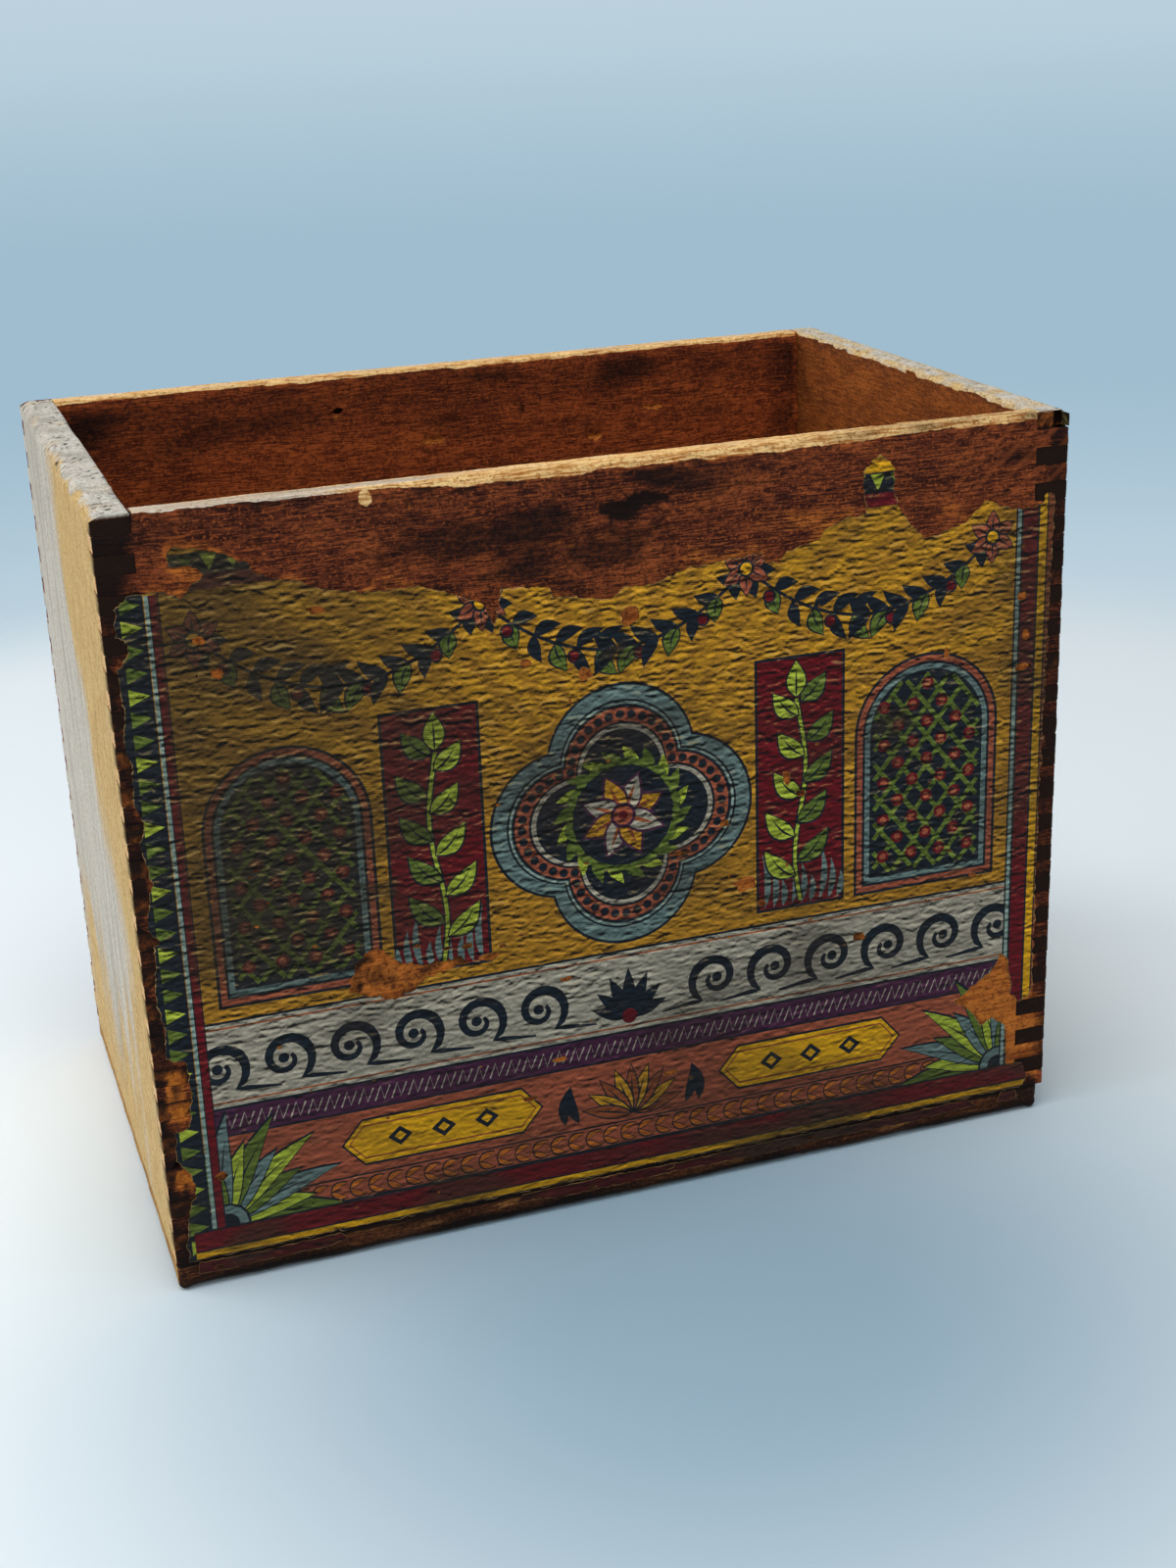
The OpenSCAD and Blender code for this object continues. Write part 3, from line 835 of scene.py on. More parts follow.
def right_finish(u, v, w, parts, kinds, turns):
    worn, bleached, darkening, rim, tip = end_state(u, v, w, parts, kinds, turns, 0.0, 0.5, 150)
    bleached = np.where(rim, np.where(turns == WALL, 0.55, 0.35) + 0.4 * drift(u / 7, w / 3, 38.0), bleached)
    darkening = np.where(tip, darkening + 0.3, np.where(rim, 0.6 * darkening, darkening))
    broken = (parts == EDGE) & (u < 6) & (v > SIDE_H - FINGER_H) & (kinds == TIP)
    splintered = np.maximum(0.5 + 0.9 * drift(v / 0.8, w / 1.6, 37.0), 1.1 * (1 - smooth(3, 5, w)))
    darkening = np.where(broken, splintered, darkening)
    return np.stack([worn, bleached, np.zeros_like(u), darkening], axis=1)


def right_rough(u, v, w, kinds):
    # The top front finger has lost its end, and its outer side is split out deeper
    broken = (kinds == TIP) & (u < 3) & (v > SIDE_H - FINGER_H - 0.1)
    lost = 1.2 + 0.5 * drift(v / 1.5, w / 1.5, 40.0) + 3.0 * (1 - smooth(1.5, 4.5, w))
    return np.where(broken, lost, end_rough(u, v, w, kinds))


def right_wear(u, v, kinds, face):
    drop, bite = end_wear(u, v, kinds, face, right_splits, 1.7, 0.5)
    # The outer arris is worn down further over the broken finger
    low = ((kinds == RIM) & (face == OUTER)) * (1 - smooth(3.0, 7.0, u))
    return drop + 2.6 * low, np.minimum(bite + 0.2 * low, END_BITE)


def end_loose(seed):
    body = rim_band(BOX_D, SIDE_T, 4.6)
    return {OUTER: graded_points(body, 5.0, 2.2, below_rim(12), seed),
            INNER: graded_points(body, 5.0, 2.2, below_rim(16), seed + 2)}


end_outline = upright_outline(BOX_D, SIDE_T, 1)
build_board("left_end_board", end_outline, END_T,
            lambda u, v, w: (left_low[0] + w, back_high[1] - u, SEAM_Z + v),
            lambda u, v, kinds, face: end_wear(u, v, kinds, face, left_splits, 2.6, 0.35),
            left_rough, 0.2, end_loose(41), [], left_finish, end_wood)
build_board("right_end_board", end_outline, END_T,
            lambda u, v, w: (right_high[0] - w, FRONT_Y + u, SEAM_Z + v),
            right_wear, right_rough, 0.3, end_loose(51), [], right_finish, end_wood)

# Bottom board, drawn as seen from below, with the nails' heads set into it

BASE_CORNER = 2.2
base_length, base_depth = base_high[0] - base_low[0], base_high[1] - base_low[1]


def rounded_outline(length, depth, radius, step):
    """Points round a board with worn corners, as walk gives them."""
    spots, normals = [], []
    middles = [(length - radius, radius, -90), (length - radius, depth - radius, 0), (radius, depth - radius, 90),
               (radius, radius, 180)]
    for (x, y, start), (x2, y2, _) in zip(middles, middles[1:] + middles[:1]):
        for degrees in np.linspace(start, start + 90, 7):
            out = np.array([math.cos(math.radians(degrees)), math.sin(math.radians(degrees))])
            spots.append(np.array([x, y]) + radius * out)
            normals.append(-out)
        end = np.array([x2, y2]) + radius * out
        count = round(np.hypot(*(end - spots[-1])) / step)
        spots += [spots[-1] + (end - spots[-1]) * i / count for i in range(1, count)]
        normals += [-out] * (count - 1)
    spots, normals = np.array(spots), np.array(normals)
    kinds = np.full(len(spots), FOOT)
    return spots, normals, 0 * normals, kinds, kinds


def base_wear(u, v, kinds, face):
    if face == OUTER:
        size = 2.9 + 0.7 * drift(u / 17, v / 17, 50.0) + 0.3 * drift(u / 4, v / 4, 51.0)
        from_corner = np.maximum(np.minimum(u, base_length - u), np.minimum(v, base_depth - v))
        size = np.minimum(size, 0.8 * BASE_CORNER + 0.6 * np.maximum(from_corner - BASE_CORNER, 0))
        return size, size * 1.05
    size = 0.3 + 0.25 * drift(u / 5, v / 5, 52.0)
    return np.maximum(size, 0.1), np.maximum(size, 0.1)


def base_rough(u, v, w, kinds):
    wavy, fine = drift(u / 12, v / 12 + w / 2.2, 53.0), drift(u / 2, v / 2 + w / 0.8, 54.0)
    return np.maximum(0, 0.16 + 0.22 * wavy + 0.1 * fine)


def base_finish(u, v, w, parts, kinds, turns):
    worn, bleached, fresh, darkening = np.zeros((4, len(u)))
    edge, top = parts == EDGE, parts == INNER
    worn = np.where(edge, 0.28 + 0.5 * drift(u / 14, v / 14 + w / 3, 55.0), 0.05)
    handled = 0.4 + 0.6 * drift(u / 20, v / 20 + w / 5, 56.0) + 0.6 * (1 - smooth(0.5, 4.5, w))
    darkening = np.where(edge, handled, 0.2 + 0.4 * drift(u / 35, v / 20, 57.0))
    bleached = np.where(top, 0.12 + 0.3 * drift(u / 30, v / 16, 58.0), bleached)
    # Dirt has filled the seam below the front board
    darkening = np.where(edge & (w > BASE_T - 0.9), 1.0, darkening)
    # The left end keeps the straw of the board above it
    pale_end = edge & (u < 1.5) & (v > 1.5)
    bleached, darkening = np.where(pale_end, 0.85, bleached), np.where(pale_end, 0.1, darkening)
    for x, y in nail_places:
        ring = np.hypot(u - x, v - y)
        darkening = np.where(parts == OUTER, np.maximum(darkening, 0.9 * (1 - smooth(1.6, 4.5, ring))), darkening)
    return np.stack([worn, bleached, fresh, darkening], axis=1)


def nail_middles():
    """Where each nail stands, found from its lowest points, in the bottom board's own u and v."""
    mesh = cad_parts["bottom_nails"].data
    spots = np.array([v.co for v in mesh.vertices]) / MM
    heads = spots[spots[:, 2] < spots[:, 2].min() + 0.05]
    groups = []
    for spot in heads[:, :2]:
        for group in groups:
            if np.hypot(*(spot - group[0])) < 6:
                group.append(spot)
                break
        else:
            groups.append([spot])
    return [(np.array(g).min(axis=0) + np.array(g).max(axis=0)) / 2 - base_low[:2] for g in groups]


nail_places = nail_middles()
# The pits are a little deeper than the CAD's, so that the heads stand clear of their floors
base_marks = [Mark(OUTER, x, y, 1.9, 1.9, 0.62, 0.18) for x, y in nail_places]
BASE_MARGIN = 4.6
base_body = (BASE_MARGIN, BASE_MARGIN, base_length - BASE_MARGIN, base_depth - BASE_MARGIN)
base_loose = {OUTER: scatter(*base_body, 5.0, 61), INNER: scatter(*base_body, 5.0, 62)}
build_board("bottom_board", rounded_outline(base_length, base_depth, BASE_CORNER, 1.6), BASE_T,
            lambda u, v, w: (base_low[0] + u, base_low[1] + v, w),
            base_wear, base_rough, 0.1, base_loose, base_marks, base_finish, base_wood)


def rusted_wire_iron():
    # Drawn iron wire that has rusted in dry wood: brown black and matt, with a redder bloom
    material, tree, shader = start_material("drawn iron wire, rusted")
    place = add(tree, "TexCoord", out="Object")
    bloom = add(tree, "TexNoise", {"Vector": place, "Scale": 1000 / 0.8, "Detail": 4.0, "Roughness": 0.65})
    colour = overlay(tree, linear("#2b2320"), ((bloom, 0.4, 0.65, 1.0, "#6a3a20"),))
    dull = add(tree, "MapRange", {"Value": bloom, "From Min": 0.3, "From Max": 0.7, "To Min": 0.55, "To Max": 0.9})
    bump = add(tree, "Bump", {"Height": bloom, "Strength": 0.6, "Distance": 0.0002})
    feed(tree, shader, {"Base Color": colour, "Roughness": dull, "Metallic": 0.6, "Normal": bump})
    return material


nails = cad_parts["bottom_nails"]
nails.data.materials.clear()
nails.data.materials.append(rusted_wire_iron())

# Print of the label: a panel of ornament of the label's kind, laid down colour by colour

INKS = {
    "paper": "#8c6e42", "ochre": "#93671a", "ochre_light": "#a5761a", "yellow": "#bd8a10", "crimson": "#560912",
    "dark_crimson": "#3c060b", "plum": "#3b1a30", "navy": "#0f171f", "blue_grey": "#566864", "pale_blue": "#74857c",
    "green": "#4f5e22", "light_green": "#8c982f", "salmon": "#87452f", "warm_grey": "#8e8777", "rust": "#7c4022",
    "orange": "#a5591d",
}
LABEL_MIDDLE = 127.5
prints = []


def lay(ink, *outlines):
    prints.extend((np.asarray(outline, float), ink) for outline in outlines)


def lay_both(ink, *outlines):
    """Lays outlines and their mirror images about the middle of the label."""
    for outline in outlines:
        outline = np.asarray(outline, float)
        lay(ink, outline, outline * (-1, 1) + (2 * LABEL_MIDDLE, 0))


def bar(x0, z0, x1, z1):
    return [(x0, z0), (x1, z0), (x1, z1), (x0, z1)]


def arc(x, z, radius, start, stop, count):
    return around(x, z, radius, radius, np.radians(np.linspace(start, stop, count)))


def disc(x, z, radius, count=14):
    return arc(x, z, radius, 0, 360 * (count - 1) / count, count)


def leaf(base, tip, width, bend=0.0, count=8):
    """Outline of a pointed leaf on a spine that bends to its left by a share of its length."""
    base, along = np.array(base, float), np.subtract(tip, base)
    side = left_of(along)
    t = np.linspace(0, 1, count)
    spine = base + np.outer(t, along) + np.outer(4 * bend * t * (1 - t), side)
    half = np.outer(0.5 * width * np.sin(np.pi * t ** 0.8), side / np.hypot(*side))
    return np.vstack([spine + half, (spine - half)[-2:0:-1]])


def line(points, width):
    """Outline of a drawn line of one width, or of a width for each point."""
    points = np.asarray(points, float)
    along = np.gradient(points, axis=0)
    side = left_of(along) / np.hypot(*along.T)[:, None]
    half = side * np.reshape(np.broadcast_to(np.asarray(width) / 2, len(points)), (-1, 1))
    return np.vstack([points + half, (points - half)[::-1]])


def spray_leaf(where, base, tip, width, ink, bend=0.0, key=0.5):
    """A leaf with a dark outline and a dark rib."""
    base, tip = np.array(base), np.array(tip)
    inner_base, inner_tip = base * 0.95 + tip * 0.05, tip * 0.95 + base * 0.05
    where("navy", leaf(base, tip, width + 2 * key, bend))
    where(ink, leaf(inner_base, inner_tip, width, bend))
    where("navy", leaf(base, inner_tip * 0.8 + inner_base * 0.2, 0.6, bend, 6))


def boss(where, spot, rings, count=14):
    """Discs on one middle, each with its ink and radius."""
    for ink, radius in rings:
        where(ink, disc(*spot, radius, count))


def quatrefoil(x, z, size, trim, count=88):
    """Four lobes about a middle, moved inwards by trim."""
    turn = np.linspace(0, 2 * math.pi, count, endpoint=False)
    swing = (turn + math.pi / 4) % (math.pi / 2) - math.pi / 4
    reach = size * (0.44 * np.cos(swing) + np.sqrt(0.56 ** 2 - (0.44 * np.sin(swing)) ** 2)) - trim
    return around(x, z, reach, reach, turn)


def wave_crest(x, z, size):
    """One crest of a running wave: a line that rises, curls over and winds in."""
    reach = size * np.linspace(1, 0.22, 26)
    crest = around(x, z, reach, reach, np.radians(np.linspace(235, -215, 26)))
    tail = np.linspace((x - 2.1 * size, z - 0.98 * size), crest[0], 6)[:-1]
    widths = np.concatenate([np.linspace(0.5, 2.6, 10), np.linspace(2.9, 1.1, 21)])
    return line(np.vstack([tail, crest]), widths)


FIELD_LEFT, FIELD_RIGHT, FIELD_FOOT, FIELD_TOP = 13.5, 241.5, 9.0, 180.0


def draw_ground():
    lay("ochre", bar(0, 0, BOX_W, SIDE_H))
    hub = np.array([LABEL_MIDDLE, 104])
    for degrees in range(4, 180, 8):
        ray = math.radians(degrees)
        heading = np.array([math.cos(ray), math.sin(ray)])
        far, side = hub + heading * 190, left_of(heading) * 6.5
        lay("ochre_light", [hub, far - side, far + side])


def draw_garlands():
    """Hanging garlands of leaves and berries over the upper part."""
    hooks, hook_z, sag = [21, 92, 163, 234], 168, 66
    for x0, x1 in zip(hooks, hooks[1:]):
        t = np.linspace(0.03, 0.97, 13)
        cord = np.stack([x0 + (x1 - x0) * t, hook_z - sag * t * (1 - t)], axis=1)
        lay("navy", line(cord, 0.9))
        for i, (spot, slope) in enumerate(zip(cord, np.gradient(cord, axis=0))):
            heading = slope / np.hypot(*slope)
            side = left_of(heading)
            length = 5.6 + 3.2 * math.sin(math.pi * t[i])
            sense = 1 if t[i] < 0.5 else -1
            for way, ink in ((1, "navy"), (-1, "green" if i % 2 else "navy")):
                tip = spot + sense * heading * length * 0.75 + way * side * length * 0.75
                if ink == "navy":
                    lay("navy", leaf(spot, tip, 3.6, 0.12 * way))
                else:
                    spray_leaf(lay, spot, tip, 4.0, ink, 0.12 * way)
            if i % 3 == 1:
                boss(lay, spot - side * 2.2, (("navy", 1.9), ("crimson", 1.35)))
    for x in hooks:
        for k in range(6):
            petal = around(x, hook_z, 7.5, 7.5, math.radians(60 * k + 30))
            spray_leaf(lay, (x, hook_z), petal, 3.6, "salmon")
        boss(lay, (x, hook_z), (("navy", 2.3), ("yellow", 1.6)))


def draw_side_panels():
    """Arched panels of trellis at both sides."""
    x0, x1, foot, spring = 18.0, 61.0, 71.0, 117.0
    middle, radius = (x0 + x1) / 2, (x1 - x0) / 2

    def arch(trim):
        return np.vstack([[(x0 + trim, foot + trim), (x1 - trim, foot + trim)],
                          arc(middle, spring, radius - trim, 0, 180, 25)])

    for trim, ink in ((0, "navy"), (0.8, "salmon"), (2.4, "navy"), (3.1, "blue_grey"), (4.6, "navy")):
        lay_both(ink, arch(trim))
    hole = arch(5.2)
    pitch = 8.6
    for lean in (1, -1):
        for k in range(-6, 16):
            start = np.array([x0 if lean == 1 else x1, foot + k * pitch])
            run = np.linspace(0, x1 - x0, 60)
            points = np.stack([start[0] + lean * run, start[1] + run * 1.25], axis=1)
            kept = points[inside(hole, points)]
            if len(kept) > 3:
                lay_both("green", line(kept[[0, len(kept) // 2, -1]], 1.3))
    for i in range(1, 5):
        for j in range(12):
            spot = np.array([[x0 + 4.2 + (i - 0.5 * (j % 2)) * pitch, foot + 5 + j * 5.4]])
            if inside(arch(6.5), spot)[0]:
                boss(lay_both, spot[0], (("crimson", 1.9), ("salmon", 1.0)), 8)


def draw_leaf_panels():
    """Narrow crimson panels with a leafy stem, beside the middle."""
    x0, x1, foot, top = 64.0, 90.0, 71.0, 143.0
    lay_both("navy", bar(x0, foot, x1, top))
    lay_both("crimson", bar(x0 + 0.8, foot + 0.8, x1 - 0.8, top - 0.8))
    stem_x = (x0 + x1) / 2
    stem = np.stack([stem_x + 1.6 * np.sin(np.linspace(0, 7, 18)), np.linspace(foot + 2, top - 12, 18)], axis=1)
    for k in range(9):
        blade = (x0 + 1 + 2.9 * k, foot + 9 + 4 * (k % 3))
        lay_both("blue_grey", leaf((x0 + 2 + 2.7 * k, foot + 1), blade, 1.9, 0.08))
    lay_both("navy", line(stem, 1.9))
    lay_both("light_green", line(stem, 1.0))
    for k in range(5):
        z = foot + 9 + 11.5 * k
        x = float(np.interp(z, stem[:, 1], stem[:, 0]))
        length = 12.5 - 0.6 * k
        spray_leaf(lay_both, (x, z), (x + 0.78 * length, z + 0.75 * length), 5.2, "light_green", -0.10)
        spray_leaf(lay_both, (x, z + 4), (x - 0.78 * length, z + 4 + 0.75 * length), 5.2, "green", 0.10)
    spray_leaf(lay_both, stem[-1], stem[-1] + (0, 11), 5.4, "light_green")


def draw_middle():
    """Lobed middle panel: a wreath about an eight-petalled flower."""
    x, z, size = LABEL_MIDDLE, 106.0, 36.5
    for trim, ink in ((0, "navy"), (0.8, "blue_grey"), (4.6, "navy"), (5.2, "pale_blue"), (5.9, "navy"),
                      (6.8, "salmon"), (10.6, "navy"), (11.3, "warm_grey"), (12.6, "navy")):
        lay(ink, quatrefoil(x, z, size, trim))
    for bead in quatrefoil(x, z, size, 8.7, 56):
        lay("navy", disc(*bead, 1.25, 8))
    hub = np.array([x, z])
    for k in range(20):
        out = around(0, 0, 1, 1, math.radians(18 * k))
        spot, heading = hub + 15.5 * out, left_of(out)
        lay("green" if k % 2 else "light_green", leaf(spot, spot + 5.6 * heading + 3.0 * out, 2.7, 0.1))
        lay("green", leaf(spot, spot + 5.6 * heading - 2.6 * out, 2.5, -0.1))
    for k in range(8):
        tip = around(x, z, 12.6, 12.6, math.radians(45 * k + 22.5))
        lay("plum", leaf(hub, tip, 7.0))
        lay("warm_grey" if k % 2 else "ochre_light", leaf(hub, 0.92 * tip + 0.08 * hub, 5.6))
        lay("rust", leaf(hub, 0.75 * tip + 0.25 * hub, 1.2, 0.0, 5))
    boss(lay, hub, (("plum", 3.6), ("salmon", 2.7), ("crimson", 1.3)))


def draw_wave_band():
    """Warm grey band with a running wave, parted by a palmette in the middle."""
    foot, top, pitch = 43.5, 67.0, 17.2
    lay("navy", bar(FIELD_LEFT, foot - 0.7, FIELD_RIGHT, top + 0.7))
    lay("warm_grey", bar(FIELD_LEFT, foot, FIELD_RIGHT, top))
    for z in (foot + 1.3, top - 1.3):
        lay("rust", bar(FIELD_LEFT, z - 0.25, FIELD_RIGHT, z + 0.25))
    for k in range(6):
        lay_both("navy", wave_crest(LABEL_MIDDLE + 25 + pitch * k, foot + 10.8, 7.4))
        lay_both("navy", disc(LABEL_MIDDLE + 25.6 + pitch * k, foot + 11.0, 1.5, 9))
    hub = (LABEL_MIDDLE, foot + 4.2)
    for k in range(7):
        reach = 14.5 - 3.2 * abs(k - 3) / 3
        lay("navy", leaf(hub, around(*hub, reach, reach, math.radians(18 + 24 * k)), 4.0))
    lay("crimson", disc(*hub, 2.2))


def draw_lower_bands():
    """Plum strip with a zigzag, and below it a salmon band with tablets, a fan and a chain of laurel."""
    lay("plum", bar(FIELD_LEFT, 35.5, FIELD_RIGHT, 42.8))
    for k in range(50):
        x = FIELD_LEFT + 2 + 4.5 * k
        lay("warm_grey", line([(x, 37), (x + 1.7, 41.2), (x + 2.5, 37.2), (x + 4.2, 41)], 0.42))
    lay("navy", bar(FIELD_LEFT, FIELD_FOOT, FIELD_RIGHT, 35.5))
    lay("salmon", bar(FIELD_LEFT, FIELD_FOOT + 0.5, FIELD_RIGHT, 34.9))
    lay("navy", bar(FIELD_LEFT, 15.8, FIELD_RIGHT, 16.3))
    laurel_z, tablet_z, fan_z = 12.5, 25.5, 18
    for k in range(44):
        x = FIELD_LEFT + 3 + 5.1 * k
        for way in (1, -1):
            lay("navy", leaf((x, laurel_z), (x + 5.0, laurel_z + 2.5 * way), 2.3, 0.1 * way, 6))
            lay("orange", leaf((x + 0.4, laurel_z + 0.2 * way), (x + 4.5, laurel_z + 2.2 * way), 1.5, 0.1 * way, 6))
    tablet = np.array([(46, tablet_z), (52, 18.5), (96, 18.5), (102, tablet_z), (96, 32.5), (52, 32.5)])
    for trim, ink in ((0, "navy"), (0.7, "yellow"), (2.0, "rust"), (2.5, "yellow")):
        lay_both(ink, shrunk(tablet, trim))
    for x in (62, 74, 86):
        for half_x, half_z, ink in ((3.4, 2.9, "navy"), (1.6, 1.4, "yellow")):
            lay_both(ink, [(x - half_x, tablet_z), (x, tablet_z - half_z), (x + half_x, tablet_z),
                           (x, tablet_z + half_z)])
    for k in range(9):
        tip = around(LABEL_MIDDLE, fan_z, 15.5, 15.5, math.radians(14 + 19 * k))
        spray_leaf(lay, (LABEL_MIDDLE, fan_z), tip, 3.6, "ochre_light" if k % 2 else "rust")
    for x, lean in ((108, 1), (112, -1)):
        lay_both("navy", leaf((x, fan_z), (x + 2 * lean, 30), 3.2, 0.1))


def draw_corner_fans():
    """Fans of leaves in the two lower corners."""
    hub = (14.5, 9.5)
    for k in range(10):
        reach = 34 - 9 * (k % 2)
        tip = around(*hub, reach, reach, math.radians(-2 + 11 * k))
        spray_leaf(lay_both, hub, tip, 5.6, ("green", "light_green", "blue_grey")[k % 3], 0.05)
    boss(lay_both, hub, (("navy", 6.2), ("blue_grey", 5.5), ("navy", 3.2)))


def draw_border():
    """Stripes, and a row of dog-teeth up the left and along the top, as such labels had."""
    tooth, last = 5.6, BOX_W - FIELD_RIGHT
    # Right side, from the field outwards
    for ink, start, stop in (("navy", -0.5, last), ("pale_blue", 0, 1.1), ("crimson", 1.7, 6.0), ("yellow", 6.6, 8.8),
                             ("rust", 9.2, last)):
        lay(ink, bar(FIELD_RIGHT + start, 0, FIELD_RIGHT + stop, SIDE_H))
    # Top
    lay("crimson", bar(FIELD_LEFT, FIELD_TOP, BOX_W, FIELD_TOP + 3.6))
    lay("navy", bar(0, FIELD_TOP + 3.6, BOX_W, FIELD_TOP + 9))
    for k in range(45):
        x, foot, point = 2 + tooth * k, FIELD_TOP + 8.6, FIELD_TOP + 4.3
        lay("light_green" if k % 3 else "green", [(x, foot), (x + 2.1, point), (x + 4.2, foot)])
    lay("yellow", bar(0, FIELD_TOP + 9.2, BOX_W, FIELD_TOP + 11.6))
    # Left
    lay("navy", bar(0, 0, FIELD_LEFT - 3.2, FIELD_TOP + 2))
    for k in range(32):
        z = 2.4 + tooth * k
        lay("green" if k % 3 else "light_green", [(4.6, z), (9.6, z + 2.1), (4.6, z + 4.2)])
    for ink, start, stop in (("pale_blue", -3.0, -2.0), ("navy", -2.0, 0.5), ("crimson", -1.7, 0.2)):
        lay(ink, bar(FIELD_LEFT + start, 0, FIELD_LEFT + stop, FIELD_TOP))
    # Foot
    for ink, low, high in (("navy", 0, FIELD_FOOT), ("crimson", 3.2, FIELD_FOOT - 0.6), ("yellow", 1.0, 2.7)):
        lay(ink, bar(FIELD_LEFT - 8, low, BOX_W, high))
    # A crack in the paper, dark with dirt
    lay("navy", ragged(paper_crack, 0.8, 0.35, 4.0))


for draw in (draw_ground, draw_garlands, draw_side_panels, draw_leaf_panels, draw_middle, draw_wave_band,
             draw_lower_bands, draw_corner_fans, draw_border):
    draw()


# The finest crinkles of the paper are drawn a little wider apart than they are, so that they show
CRINKLE = 2.5


def cockle(x, z):
    """Height of the paper's crinkles, 0 to 1: broken crests along the wood's grain, each with a groove below it,
    flatter low down."""
    phase = z / CRINKLE + 1.5 * drift(x / 13, z / 7, 70.0) + 0.45 * drift(x / 4.2, z / 2.6, 71.0)
    turn = phase % 1 - 0.5
    crest, groove = np.exp(-((turn - 0.14) / 0.16) ** 2), np.exp(-((turn + 0.17) / 0.15) ** 2)
    broken = 0.15 + 0.85 * smooth(-0.28, 0.3, drift(x / 8, z / 2.4, 72.0))
    strength = 0.4 + 0.6 * smooth(38, 80, z)
    return np.clip(0.5 + strength * (0.5 * broken * (crest - groove) + 0.2 * drift(x / 2.6, z / 0.8, 73.0)), 0, 1)


# Dusty smears on the print: middle, half length and half height
smears = [(36, 147, 6, 3.5), (25, 153, 4, 4), (30, 161, 5, 3), (128, 150, 7, 4), (205, 120, 9, 6), (60, 96, 12, 5)]


def grime(x, z):
    """How dirty the print is, 0 to 1: more towards the left, and in smears."""
    border = 0.3 + 0.7 * smooth(10, 15, x)
    soil = 0.85 * border * (1 - smooth(20, 125, x + 30 * drift(x / 30, z / 22, 78.0))) * smooth(60, 90, z)
    soil = np.maximum(soil, 0.5 * smooth(222, 246, x + 12 * drift(x / 14, z / 14, 78.5)) * smooth(60, 90, z))
    soil = np.maximum(soil, (1 - smooth(5, 34, z)) * (0.3 + 0.4 * smooth(-0.05, 0.4, drift(x / 22, z / 9, 78.8))))
    for middle_x, middle_z, half_x, half_z in smears:
        reach = np.hypot((x - middle_x) / half_x, (z - middle_z) / half_z)
        soil = np.maximum(soil, 0.8 * (1 - smooth(0.2, 1.1, reach + 0.7 * drift(x / 3, z / 1.6, 79.0))))
    return soil


RIPPLE_ALONG, RIPPLE_UP = 2.5, 0.46


def short_steps(outline):
    """A closed outline with enough points to follow the crinkles."""
    steps = []
    for here, ahead in zip(outline, np.roll(outline, -1, axis=0)):
        run = ahead - here
        count = max(1, math.ceil(abs(run[0]) / RIPPLE_ALONG), math.ceil(abs(run[1]) / RIPPLE_UP))
        steps += [here + run * i / count for i in range(count)]
    return np.array(steps)


def on_sheet(outline, holes, points):
    """Which points lie inside a sheet's outline and outside its holes."""
    kept = inside(outline, points)
    for hole in holes:
        kept &= ~inside(hole, points)
    return kept


PAPER_CREASE = 60
# Share of the paper's thickness that lies below its deepest crinkle
PAPER_BED = 0.3
# Gap between the paper's back and the board, so that the two don't touch
PASTE = 0.01
# Size of the cells that hold no loose point beside a cut of the print
CELL = np.array([1.0, 0.5])


